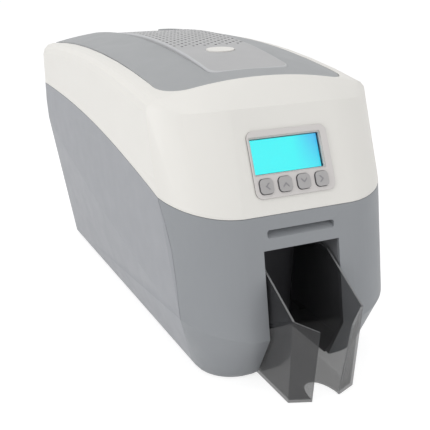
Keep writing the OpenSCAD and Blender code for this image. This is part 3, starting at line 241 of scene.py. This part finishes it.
def rgba(hexadecimal):
    """Linear colour from an sRGB hex string."""
    def linear(c):
        return c / 12.92 if c <= 0.04045 else ((c + 0.055) / 1.055) ** 2.4
    return tuple(linear(int(hexadecimal[i:i + 2], 16) / 255) for i in (1, 3, 5)) + (1.0,)


def shade(color, factor):
    """The colour made darker or lighter."""
    return tuple(min(1.0, c * factor) for c in color[:3]) + (1.0,)


def moulded(name, color, roughness, grain=GRAIN, depth=GRAIN_DEPTH, mottle=0.03, coat=0.0):
    """Moulded plastic with a fine spark texture and a faint drift in colour and sheen."""
    g = new_graph(name)
    bsdf = g.principled(Roughness=roughness, Coat_Weight=coat)
    drift = g.mixed(g.noise(DRIFT, 4.0), shade(color, 1 - mottle), shade(color, 1 + mottle))
    g.link(drift, bsdf.inputs["Base Color"])
    g.link(g.span(g.noise(SHEEN, 5.0), roughness - 0.05, roughness + 0.05), bsdf.inputs["Roughness"])
    g.link(g.bump(g.noise(grain, 2.0), GRAIN_STRENGTH, depth), bsdf.inputs["Normal"])
    return g.owner


def metal(name, color, roughness, scale, stretch=(1.0, 1.0, 1.0)):
    """Bare or plated metal with fine streaks or a mottled plating."""
    g = new_graph(name)
    bsdf = g.principled(Metallic=1.0, Roughness=roughness)
    mapping = g.node("ShaderNodeMapping", Scale=stretch)
    g.link(g.object_coordinates(), mapping.inputs["Vector"])
    streaks = g.noise(scale, 4.0, mapping.outputs["Vector"])
    g.link(g.mixed(streaks, shade(color, 0.9), shade(color, 1.06)), bsdf.inputs["Base Color"])
    g.link(g.span(streaks, roughness - 0.08, roughness + 0.08), bsdf.inputs["Roughness"])
    g.link(g.bump(streaks, 0.2, 0.00001), bsdf.inputs["Normal"])
    return g.owner


def clear(name, color, roughness, alpha):
    """Tinted clear plastic with faint flow marks."""
    g = new_graph(name)
    bsdf = g.principled(Base_Color=color, Roughness=roughness, Alpha=alpha, IOR=1.5)
    g.link(g.span(g.noise(40.0, 3.0), roughness * 0.7, roughness * 1.4), bsdf.inputs["Roughness"])
    g.link(g.bump(g.noise(25.0, 1.0), 0.08, 0.0003), bsdf.inputs["Normal"])
    g.owner.surface_render_method = "BLENDED"
    return g.owner


def lit_screen(name, near, far, across, upwards):
    """Back-lit display, shading from one colour to a bluer one towards its upper right corner."""
    g = new_graph(name)
    bsdf = g.principled(Base_Color=(0.0, 0.02, 0.03, 1), Roughness=0.35, Emission_Strength=1.0)
    corner = g.node("ShaderNodeMath", operation="MULTIPLY")
    g.link(g.along("X", *across), corner.inputs[0])
    g.link(g.along("Z", *upwards), corner.inputs[1])
    cells = g.node("ShaderNodeTexVoronoi", Scale=900.0)
    g.link(g.object_coordinates(), cells.inputs["Vector"])
    g.link(g.mixed(corner.outputs[0], near, far), bsdf.inputs["Emission Color"])
    g.link(g.bump(cells.outputs["Distance"], 0.1, 0.00001), bsdf.inputs["Normal"])
    return g.owner


def bay_with_painted_shade(name, front, deep, front_y, deep_y):
    """Moulded plastic with painted shade, from a light gray at the mouth to a dark one inside."""
    g = new_graph(name)
    bsdf = g.principled(Roughness=0.5)
    g.link(g.mixed(g.along("Y", front_y, deep_y), front, deep), bsdf.inputs["Base Color"])
    g.link(g.bump(g.noise(GRAIN, 2.0), GRAIN_STRENGTH, GRAIN_DEPTH), bsdf.inputs["Normal"])
    return g.owner


def banded_film(name, colors, start_y, pitch):
    """Ribbon film with its run of dye panels, one after the other along the film."""
    g = new_graph(name)
    bsdf = g.principled(Roughness=0.22, Coat_Weight=0.5)
    steps = g.node("ShaderNodeValToRGB")
    steps.color_ramp.interpolation = "CONSTANT"
    elements = steps.color_ramp.elements
    while len(elements) < len(colors):
        elements.new(0.5)
    for i, color in enumerate(colors):
        elements[i].position = i / len(colors)
        elements[i].color = color
    g.link(g.along("Y", start_y, start_y + pitch * len(colors)), steps.inputs["Fac"])
    g.link(steps.outputs["Color"], bsdf.inputs["Base Color"])
    g.link(g.bump(g.noise(60.0, 2.0), 0.15, 0.0002), bsdf.inputs["Normal"])
    return g.owner


def built_materials(look):
    """Every finish by its slot in the record, and those that only single pieces or faces take."""
    return {
        # Outer shell
        "housing_gray": moulded("Gray housing plastic", look.housing, 0.5),
        "fascia_gray": moulded("Darker front plastic", look.fascia, 0.5),
        "cover_white": moulded("White cover plastic", look.cover, 0.45, mottle=0.012),
        "lid_gray": moulded("Lid plastic", look.lid, 0.55),
        "panel_gray": moulded("Vent panel plastic", look.panel, 0.5),
        # Painted highlight: a lighter gray on the lid panel's rounded rim
        "panel_rim_highlight": moulded("Panel rim with painted highlight", rgba("#c6c7c9"), 0.45),
        # Painted shade: the walls of the vent holes darker than the panel
        "vent_hole_shade": moulded("Painted shade in vent holes", rgba("#505154"), 0.6),
        # Display and keys
        "bezel_gray": moulded("Bezel plastic", look.bezel, 0.42, mottle=0.015),
        # Painted shade: the bezel's outer side walls darker than its face
        "bezel_side_shade": moulded("Painted shade on bezel sides", rgba("#8b8886"), 0.5),
        "key_gray": moulded("Key plastic", look.key_caps, 0.6, grain=900.0, depth=0.00005, mottle=0.06),
        # Painted shade: the keys' side walls darker than their tops
        "key_side_shade": moulded("Painted shade on key sides", rgba("#5c5c5f"), 0.5),
        "key_mark": moulded("Key chevrons", rgba("#939295"), 0.5),
        "clear_window": clear("Display window", (0, 0, 0, 1), 0.05, 0.05),
        "screen": lit_screen("Lit display", rgba("#3cf8fa"), rgba("#4ab2f2"), BLUER_X, BLUER_Z),
        "module_case": moulded("Display module case", rgba("#2b2d31"), 0.4),
        # Painted shade: a dark blue-gray sheet on the walls of the display's opening
        "opening_shade_blue": moulded("Painted shade in display opening", rgba("#24394a"), 0.4),
        # Card stacker
        "smoke_clear": clear("Smoke clear plastic", look.smoke, 0.1, 0.53),
        # Painted highlight: a lighter, less clear gray on the stacker's thin and rounded edges
        "smoke_edge_highlight": clear("Smoke plastic edges with painted highlight", rgba("#8b8c8d"), 0.2, 0.7),
        # Painted shade: the bay's colour darkens from its mouth inwards
        "bay_gray": bay_with_painted_shade("Stacker bay plastic with painted shade", rgba("#85868a"), rgba("#4c4c50"), BAY_FRONT, BAY_DEEP),
        # Inside and rear
        "board_green": moulded("Circuit board", rgba("#2c6a44"), 0.35, grain=900.0, mottle=0.08, coat=0.4),
        "chip_black": moulded("Chip resin", rgba("#1f2022"), 0.5, grain=1200.0),
        "black_plastic": moulded("Black plastic", rgba("#232326"), 0.5),
        "rubber_black": moulded("Ground rubber", rgba("#2c2c2e"), 0.75, grain=2200.0, depth=0.00004),
        "clean_blue": moulded("Tacky blue rubber", rgba("#3c7fc0"), 0.35),
        "motor_black": moulded("Satin black paint", rgba("#2e2f33"), 0.42),
        "gear_plastic": moulded("Gear plastic", rgba("#e6e3da"), 0.4),
        "switch_red": moulded("Red switch plastic", rgba("#a82c26"), 0.3, coat=0.3),
        "ribbon": moulded("Dye ribbon", rgba("#4c3d78"), 0.28, grain=300.0),
        "dye_film": banded_film("Dye panels", [rgba(dye) for dye in DYES], DYE_START, DYE_PITCH),
        "sheet_steel": metal("Plated sheet steel", rgba("#b4b7ba"), 0.38, 90.0),
        "steel_rod": metal("Ground steel", rgba("#c2c4c6"), 0.22, 60.0, (1.0, 30.0, 30.0)),
        "brass": metal("Sintered bronze", rgba("#c9a45c"), 0.4, 700.0),
        "gold": metal("Gold contacts", rgba("#d8b25a"), 0.25, 900.0),
        "head_alu": metal("Extruded aluminium", rgba("#a4a7aa"), 0.35, 30.0, (40.0, 1.0, 1.0)),
    }


# ---- helpers -------------------------------------------------------------------------------------

def slot_of(node):
    """Material slot that the record gives a CAD node."""
    for part in frame["record"]["subparts"]:
        if part["node"] == node:
            return part["material_slot"]
    raise RuntimeError("no slot for " + node)


def body_with(node):
    """Name of the body that a CAD node belongs to."""
    for body, nodes in frame["record"]["behaviour"]["bodies"].items():
        if node in nodes:
            return body
    raise RuntimeError("no body for " + node)


def painted(node, slot):
    """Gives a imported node's faces one finish."""
    places = NODES[node].material_slots
    if not places:
        raise RuntimeError("no material slot on " + node)
    for place in places:
        place.material = MATERIALS[slot]


def vertices_in(geometry):
    """The vertices among what a bmesh operator made."""
    return [item for item in geometry if isinstance(item, bmesh.types.BMVert)]


def raised(bm, height):
    """Extrudes the faces of a flat bmesh up by a height."""
    top = bmesh.ops.extrude_face_region(bm, geom=bm.faces[:])["geom"]
    bmesh.ops.translate(bm, vec=(0, 0, height), verts=vertices_in(top))
    bmesh.ops.recalc_face_normals(bm, faces=bm.faces)


def finished(bm, name, body, slot, smooth_angle=PLAIN_ANGLE):
    """Makes the object from a bmesh in the object's frame, and gives it its body and finish."""
    mesh = bpy.data.meshes.new(name)
    bm.to_mesh(mesh)
    bm.free()
    for face in mesh.polygons:
        face.use_smooth = True
    mesh.set_sharp_from_angle(angle=math.radians(smooth_angle))
    obj = bpy.data.objects.new(name, mesh)
    bpy.context.scene.collection.objects.link(obj)
    obj.data.materials.append(MATERIALS[slot])
    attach(obj, body)
    return obj


def softened(obj, width, segments=2, angle=DETAIL_ANGLE):
    """Rounds the crisp edges of a finished object."""
    bevel = obj.modifiers.new("Soft edges", "BEVEL")
    bevel.width = width
    bevel.segments = segments
    bevel.limit_method = "ANGLE"
    bevel.angle_limit = math.radians(angle)
    bevel.harden_normals = True
    bevel.use_clamp_overlap = True


def refinished(obj, slot, is_other):
    """Adds a finish to an object, for the faces that pass the test."""
    obj.data.materials.append(MATERIALS[slot])
    for face in obj.data.polygons:
        if is_other(face):
            face.material_index = len(obj.data.materials) - 1


def node_bmesh(node):
    """Merged copy of a CAD node's mesh, with its flat faces joined."""
    bm = bmesh.new()
    bm.from_mesh(NODES[node].data)
    bmesh.ops.remove_doubles(bm, verts=bm.verts, dist=WELD)
    bmesh.ops.dissolve_limit(bm, angle_limit=math.radians(FLAT_ANGLE), use_dissolve_boundaries=False,
                             verts=bm.verts, edges=bm.edges, delimit={"NORMAL"})
    return bm


def refined(node, width, smooth_angle=PLAIN_ANGLE):
    """Replaces a CAD node by a copy with rounded edges and smooth curved faces."""
    obj = finished(node_bmesh(node), node + "_fine", body_with(node), slot_of(node), smooth_angle)
    if width:
        softened(obj, width, angle=smooth_angle)
    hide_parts(node)
    return obj


# ---- sizes and colours a user would change -------------------------------------------------------

class PrinterLook(bpy.types.PropertyGroup):
    """Colours and edge sizes of the printer."""
    housing: bpy.props.FloatVectorProperty(
        name="Housing", description="Colour of the lower housing",
        default=rgba("#9fa1a6"), size=4, min=0.0, max=1.0, subtype="COLOR")
    fascia: bpy.props.FloatVectorProperty(
        name="Fascia", description="Colour of the front fascia",
        default=rgba("#979a9e"), size=4, min=0.0, max=1.0, subtype="COLOR")
    cover: bpy.props.FloatVectorProperty(
        name="Cover", description="Colour of the upper cover",
        default=rgba("#eeece7"), size=4, min=0.0, max=1.0, subtype="COLOR")
    lid: bpy.props.FloatVectorProperty(
        name="Lid", description="Colour of the lid",
        default=rgba("#a5a7a9"), size=4, min=0.0, max=1.0, subtype="COLOR")
    panel: bpy.props.FloatVectorProperty(
        name="Panel", description="Colour of the vent panel",
        default=rgba("#b7b7b8"), size=4, min=0.0, max=1.0, subtype="COLOR")
    bezel: bpy.props.FloatVectorProperty(
        name="Bezel", description="Colour of the display bezel",
        default=rgba("#d9d5d3"), size=4, min=0.0, max=1.0, subtype="COLOR")
    key_caps: bpy.props.FloatVectorProperty(
        name="Keys", description="Colour of the keys",
        default=rgba("#b4b2b2"), size=4, min=0.0, max=1.0, subtype="COLOR")
    smoke: bpy.props.FloatVectorProperty(
        name="Stacker", description="Tint of the clear stacker",
        default=rgba("#38383a"), size=4, min=0.0, max=1.0, subtype="COLOR")
    edge: bpy.props.FloatProperty(
        name="Edge radius", description="Rounding of moulded edges",
        default=0.0005, unit="LENGTH", subtype="DISTANCE")


class StageLook(bpy.types.PropertyGroup):
    """Lights and camera."""
    key_power: bpy.props.FloatProperty(
        name="Key light", description="Power of the left soft light", default=10.5, unit="POWER")
    fill_power: bpy.props.FloatProperty(
        name="Fill light", description="Power of the right soft light", default=5.0, unit="POWER")
    top_power: bpy.props.FloatProperty(
        name="Top light", description="Power of the overhead soft light", default=6.0, unit="POWER")
    world_level: bpy.props.FloatProperty(
        name="Surround", description="Brightness of the surround", default=0.55, subtype="FACTOR")
    lens: bpy.props.FloatProperty(
        name="Lens", description="Focal length of the camera", default=65.97, unit="CAMERA")


# ---- operators -----------------------------------------------------------------------------------

class PrinterFinishes(bpy.types.Operator):
    """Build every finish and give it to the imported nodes"""
    bl_idname = "card_printer.finishes"
    bl_label = "Finishes"

    def execute(self, context):
        MATERIALS.update(built_materials(context.scene.printer_look))
        for node in NODES:
            painted(node, slot_of(node))
        return {"FINISHED"}


class PrinterHousing(bpy.types.Operator):
    """Round the edges of the housing, the fascia and the white cover"""
    bl_idname = "card_printer.housing"
    bl_label = "Housing"

    def execute(self, context):
        for node in SHELL_NODES:
            refined(node, context.scene.printer_look.edge, SHELL_ANGLE)
        return {"FINISHED"}


class PrinterLid(bpy.types.Operator):
    """Round the edges of the lid, its raised panel and the release button, with a painted highlight on the
    panel's rim and painted shade in its vent holes
    """
    bl_idname = "card_printer.lid"
    bl_label = "Lid"

    def execute(self, context):
        edge = context.scene.printer_look.edge
        refined("lid_cover", edge * LID_EDGES, SHELL_ANGLE)
        bm = node_bmesh("lid_panel")
        bmesh.ops.bevel(bm, geom=[rim for rim in bm.edges if self.is_rim(rim)], offset=PANEL_RIM_R,
                        offset_type="OFFSET", segments=4, profile=0.5, affect="EDGES",
                        clamp_overlap=False, material=1)
        panel = finished(bm, "lid_panel_fine", body_with("lid_panel"), "panel_gray", SHELL_ANGLE)
        # The second finish, which the bevelled rim takes, is a painted highlight
        panel.data.materials.append(MATERIALS["panel_rim_highlight"])
        # Painted shade on the walls of the vent holes
        refinished(panel, "vent_hole_shade", self.is_vent_wall)
        panel.modifiers.new("Flat tops stay flat", "WEIGHTED_NORMAL").keep_sharp = True
        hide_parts("lid_panel")
        refined("release_button", edge * BUTTON_EDGES, SHELL_ANGLE)
        return {"FINISHED"}

    def is_rim(self, edge):
        """Whether an edge parts the panel's top from its outer walls."""
        middle = (edge.verts[0].co + edge.verts[1].co) / 2
        outside = abs(middle.x) > PANEL_RIM_X or middle.y < PANEL_RIM_Y
        ups = [face.normal.z for face in edge.link_faces]
        return outside and len(ups) == 2 and max(ups) > ACROSS and min(abs(up) for up in ups) < ALONG

    def is_vent_wall(self, face):
        """Whether a face of the panel is the wall of a vent hole."""
        return abs(face.normal.z) < ALONG and abs(face.center.x) < PANEL_RIM_X and face.center.y > VENT_Y


class PrinterDisplay(bpy.types.Operator):
    """Round the display bezel and its keys, paint shade on their sides, emboss the keys and paint shade on
    the walls of the display's opening
    """
    bl_idname = "card_printer.display"
    bl_label = "Display and keys"

    def execute(self, context):
        edge = context.scene.printer_look.edge
        self.paint_shade_on_sides(refined("display_bezel", edge * BEZEL_EDGES), "bezel_side_shade", BEZEL_FIELD)
        refinished(refined("display_module", MODULE_EDGE), "module_case",
                   lambda face: face.normal @ OUTWARD < SQUARE)
        for node, turn in KEY_TURNS.items():
            self.paint_shade_on_sides(refined(node, edge), "key_side_shade")
            low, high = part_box(node)
            self.chevron(node, (low[0] + high[0]) / 2, turn)
        self.opening_shade()
        return {"FINISHED"}

    def paint_shade_on_sides(self, obj, slot, field=(0.0, 0.0, 0.0)):
        """Paints shade on the faces that stand out from the slope, apart from those over a field of it, as a
        darker finish.
        """
        half_width, low, high = field

        def is_side(face):
            place = TO_FACE @ face.center
            outside = abs(place.x) > half_width or not low < place.y < high
            return outside and abs(face.normal @ OUTWARD) < ALONG
        refinished(obj, slot, is_side)

    def chevron(self, node, x, turn):
        """A low raised chevron on a key that points along turn degrees."""
        bm = bmesh.new()
        ends = [bm.verts.new((-CHEVRON_REACH / 2, side * CHEVRON_REACH, 0)) for side in (-1, 1)]
        tip = bm.verts.new((CHEVRON_REACH / 2, 0, 0))
        spine = [bm.edges.new((ends[0], tip)), bm.edges.new((tip, ends[1]))]
        moved = bmesh.ops.extrude_edge_only(bm, edges=spine)["geom"]
        bmesh.ops.translate(bm, vec=(-CHEVRON_STROKE, 0, 0), verts=vertices_in(moved))
        raised(bm, CHEVRON_HEIGHT)
        bmesh.ops.rotate(bm, cent=(0, 0, 0), matrix=Matrix.Rotation(math.radians(turn), 3, "Z"),
                         verts=bm.verts)
        bmesh.ops.transform(bm, matrix=FACE @ Matrix.Translation((x, KEY_S, KEY_TOP)), verts=bm.verts)
        softened(finished(bm, node + "_chevron", body_with(node), "key_mark"), CHEVRON_EDGE, 1)

    def opening_shade(self):
        """Thin dark sheet of painted shade round the walls of the display's opening."""
        bm = bmesh.new()
        made = bmesh.ops.create_grid(bm, x_segments=1, y_segments=1, size=0.5)["verts"]
        bmesh.ops.scale(bm, vec=(VIEW_W, VIEW_H, 1), verts=made)
        ring = bmesh.ops.inset_region(bm, faces=bm.faces[:], thickness=OPENING_SHADE, use_boundary=True,
                                      use_even_offset=True)["faces"]
        bmesh.ops.delete(bm, geom=[face for face in bm.faces if face not in ring], context="FACES")
        raised(bm, OPENING_SHADE_TOP - OPENING_SHADE_LOW)
        bmesh.ops.transform(bm, matrix=FACE @ Matrix.Translation((VIEW_X, VIEW_S, OPENING_SHADE_LOW)), verts=bm.verts)
        finished(bm, "display_opening_shade", body_with("display_bezel"), "opening_shade_blue")


class PrinterStacker(bpy.types.Operator):
    """Round the edges of the clear card stacker, with a painted highlight on its thin and rounded edges, and
    finish its bay, whose shade is painted
    """
    bl_idname = "card_printer.stacker"
    bl_label = "Stacker"

    def execute(self, context):
        tray = refined("stacker", TRAY_EDGE)

        def is_cut_edge(face):
            corners = [tray.data.vertices[v].co for v in face.vertices]
            around = sum((b - a).length for a, b in zip(corners, corners[1:] + corners[:1]))
            return face.area < THIN_FACE * around and abs(face.normal.y) < FLAP_FACING
        refinished(tray, "smoke_edge_highlight", is_cut_edge)
        # The rounded edges take the painted highlight too
        tray.modifiers["Soft edges"].material = 1
        refined("stacker_bay", FINE_EDGE)
        return {"FINISHED"}


class PrinterInside(bpy.types.Operator):
    """Smooth the shafts, rollers and spools, round the edges of the boxy parts and lay out the dyes"""
    bl_idname = "card_printer.inside"
    bl_label = "Inside"

    def execute(self, context):
        for node in TURNED_NODES:
            refined(node, 0)
        for node in BOXY_NODES:
            refined(node, FINE_EDGE)
        painted("ribbon_film", "dye_film")
        return {"FINISHED"}


class PrinterSockets(bpy.types.Operator):
    """Finish the rear sockets, the inlet and the main board, and put the contacts in the sockets"""
    bl_idname = "card_printer.sockets"
    bl_label = "Sockets and boards"

    def execute(self, context):
        low, high = (Vector(corner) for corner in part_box("data_sockets"))
        refinished(refined("data_sockets", FINE_EDGE), "chip_black",
                   lambda face: low.x + SOCKET_RIM_X < face.center.x < high.x - SOCKET_RIM_X
                   and face.center.y < high.y - SOCKET_RIM_Y
                   and low.z + SOCKET_RIM_Z < face.center.z < high.z - SOCKET_RIM_Z)
        board_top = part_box("main_board")[0][2] + BOARD_TOP
        refinished(refined("main_board", 0), "chip_black", lambda face: face.center.z > board_top)
        inlet = refined("power_inlet", FINE_EDGE)
        refinished(inlet, "steel_rod",
                   lambda face: all(self.is_on_pin(inlet.data.vertices[v].co) for v in face.vertices))
        self.tongue()
        self.wires()
        return {"FINISHED"}

    def is_on_pin(self, at):
        """Whether a corner belongs to one of the inlet's pins."""
        return at.y > REAR_Y - PIN_DEPTH and any(
            abs(at.x - x) < PIN_HALF_X and abs(at.z - z) < PIN_HALF_Z for x, z in INLET_PINS)

    def tongue(self):
        """The contact tongue in the square socket."""
        x, z = SOCKETS_AT
        bm = bmesh.new()
        made = bmesh.ops.create_cube(bm, size=1.0)["verts"]
        bmesh.ops.scale(bm, vec=TONGUE_SIZE, verts=made)
        bmesh.ops.translate(bm, vec=(x + TONGUE_X, REAR_Y - TONGUE_DEPTH, z), verts=made)
        softened(finished(bm, "socket_tongue", "printer", "gear_plastic"), FINE_EDGE)

    def wires(self):
        """The row of sprung wires in the wide socket."""
        x, z = SOCKETS_AT
        slope = Matrix.Rotation(math.radians(WIRE_SLOPE), 3, "X")
        bm = bmesh.new()
        for i in range(WIRES):
            made = bmesh.ops.create_cone(bm, cap_ends=True, segments=8, radius1=WIRE_R, radius2=WIRE_R,
                                         depth=WIRE_LENGTH)["verts"]
            bmesh.ops.rotate(bm, cent=(0, 0, 0), matrix=slope, verts=made)
            place = (x + WIRES_X + (i - (WIRES - 1) / 2) * WIRE_PITCH, REAR_Y - WIRES_DEPTH, z + WIRES_UP)
            bmesh.ops.translate(bm, vec=place, verts=made)
        finished(bm, "socket_wires", "printer", "gold")


class PrinterStage(bpy.types.Operator):
    """Set the floor, the soft lights and the camera"""
    bl_idname = "card_printer.stage"
    bl_label = "Stage"

    def execute(self, context):
        look = context.scene.stage_look
        self.floor()
        self.world(look.world_level)
        for name, power in (("Key", look.key_power), ("Fill", look.fill_power), ("Top", look.top_power)):
            self.light(name, *LIGHTS[name], power)
        self.camera(look.lens)
        context.scene.view_settings.view_transform = "Standard"
        return {"FINISHED"}

    def floor(self):
        """Floor that looks white and throws light back as a pale one does."""
        bm = bmesh.new()
        bmesh.ops.create_grid(bm, x_segments=1, y_segments=1, size=FLOOR_HALF)
        mesh = bpy.data.meshes.new("Floor")
        bm.to_mesh(mesh)
        bm.free()
        floor = bpy.data.objects.new("Floor", mesh)
        bpy.context.scene.collection.objects.link(floor)
        g = new_graph("Pale floor")
        plain, pale = (g.node("ShaderNodeBsdfDiffuse", Color=(v, v, v, 1)) for v in (FLOOR_LIT, FLOOR_SEEN))
        glow = g.node("ShaderNodeEmission", Color=WHITE, Strength=FLOOR_GLOW)
        bright = g.node("ShaderNodeAddShader")
        g.link(pale.outputs[0], bright.inputs[0])
        g.link(glow.outputs[0], bright.inputs[1])
        g.seen_or_lit(bright, plain)
        floor.data.materials.append(g.owner)

    def world(self, level):
        """Surround that looks white and gives light of a lower level."""
        world = bpy.data.worlds.new("Studio")
        bpy.context.scene.world = world
        g = Graph(world, "ShaderNodeOutputWorld")
        white, soft = (g.node("ShaderNodeBackground", Color=WHITE, Strength=s) for s in (1.0, level))
        g.seen_or_lit(white, soft)

    def light(self, name, place, size, power):
        """A soft round light that faces the printer."""
        lamp = bpy.data.lights.new(name, "AREA")
        lamp.shape = "DISK"
        lamp.size = size
        lamp.energy = power
        obj = bpy.data.objects.new(name, lamp)
        obj.location = place
        obj.rotation_euler = (LIGHTS_FACE - Vector(place)).to_track_quat("-Z", "Y").to_euler()
        bpy.context.scene.collection.objects.link(obj)

    def camera(self, lens):
        camera = bpy.data.cameras.new("Camera")
        camera.sensor_width = SENSOR
        camera.lens = lens
        camera.clip_start = CLIP_START
        view = bpy.data.objects.new("Camera", camera)
        view.location = CAMERA_AT
        view.rotation_euler = Euler((math.radians(CAMERA_TILT), 0, math.radians(CAMERA_TURN)))
        bpy.context.scene.collection.objects.link(view)
        bpy.context.scene.camera = view


class PrinterPanel(bpy.types.Panel):
    """Buttons for the printer's operators"""
    bl_idname = "VIEW3D_PT_card_printer"
    bl_label = "Card Printer"
    bl_space_type = "VIEW_3D"
    bl_region_type = "UI"
    bl_category = "Card Printer"

    def draw(self, context):
        for operator in OPERATORS:
            self.layout.operator(operator.bl_idname)


OPERATORS = (PrinterFinishes, PrinterHousing, PrinterLid, PrinterDisplay, PrinterStacker, PrinterInside,
             PrinterSockets, PrinterStage)
CLASSES = (PrinterLook, StageLook) + OPERATORS + (PrinterPanel,)


def register():
    for cls in CLASSES:
        bpy.utils.register_class(cls)
    bpy.types.Scene.printer_look = bpy.props.PointerProperty(type=PrinterLook)
    bpy.types.Scene.stage_look = bpy.props.PointerProperty(type=StageLook)


def unregister():
    del bpy.types.Scene.stage_look
    del bpy.types.Scene.printer_look
    for cls in reversed(CLASSES):
        bpy.utils.unregister_class(cls)


def main():
    register()
    bpy.ops.card_printer.finishes()
    bpy.ops.card_printer.housing()
    bpy.ops.card_printer.lid()
    bpy.ops.card_printer.display()
    bpy.ops.card_printer.stacker()
    bpy.ops.card_printer.inside()
    bpy.ops.card_printer.sockets()
    bpy.ops.card_printer.stage()


if __name__ == "__main__":
    main()
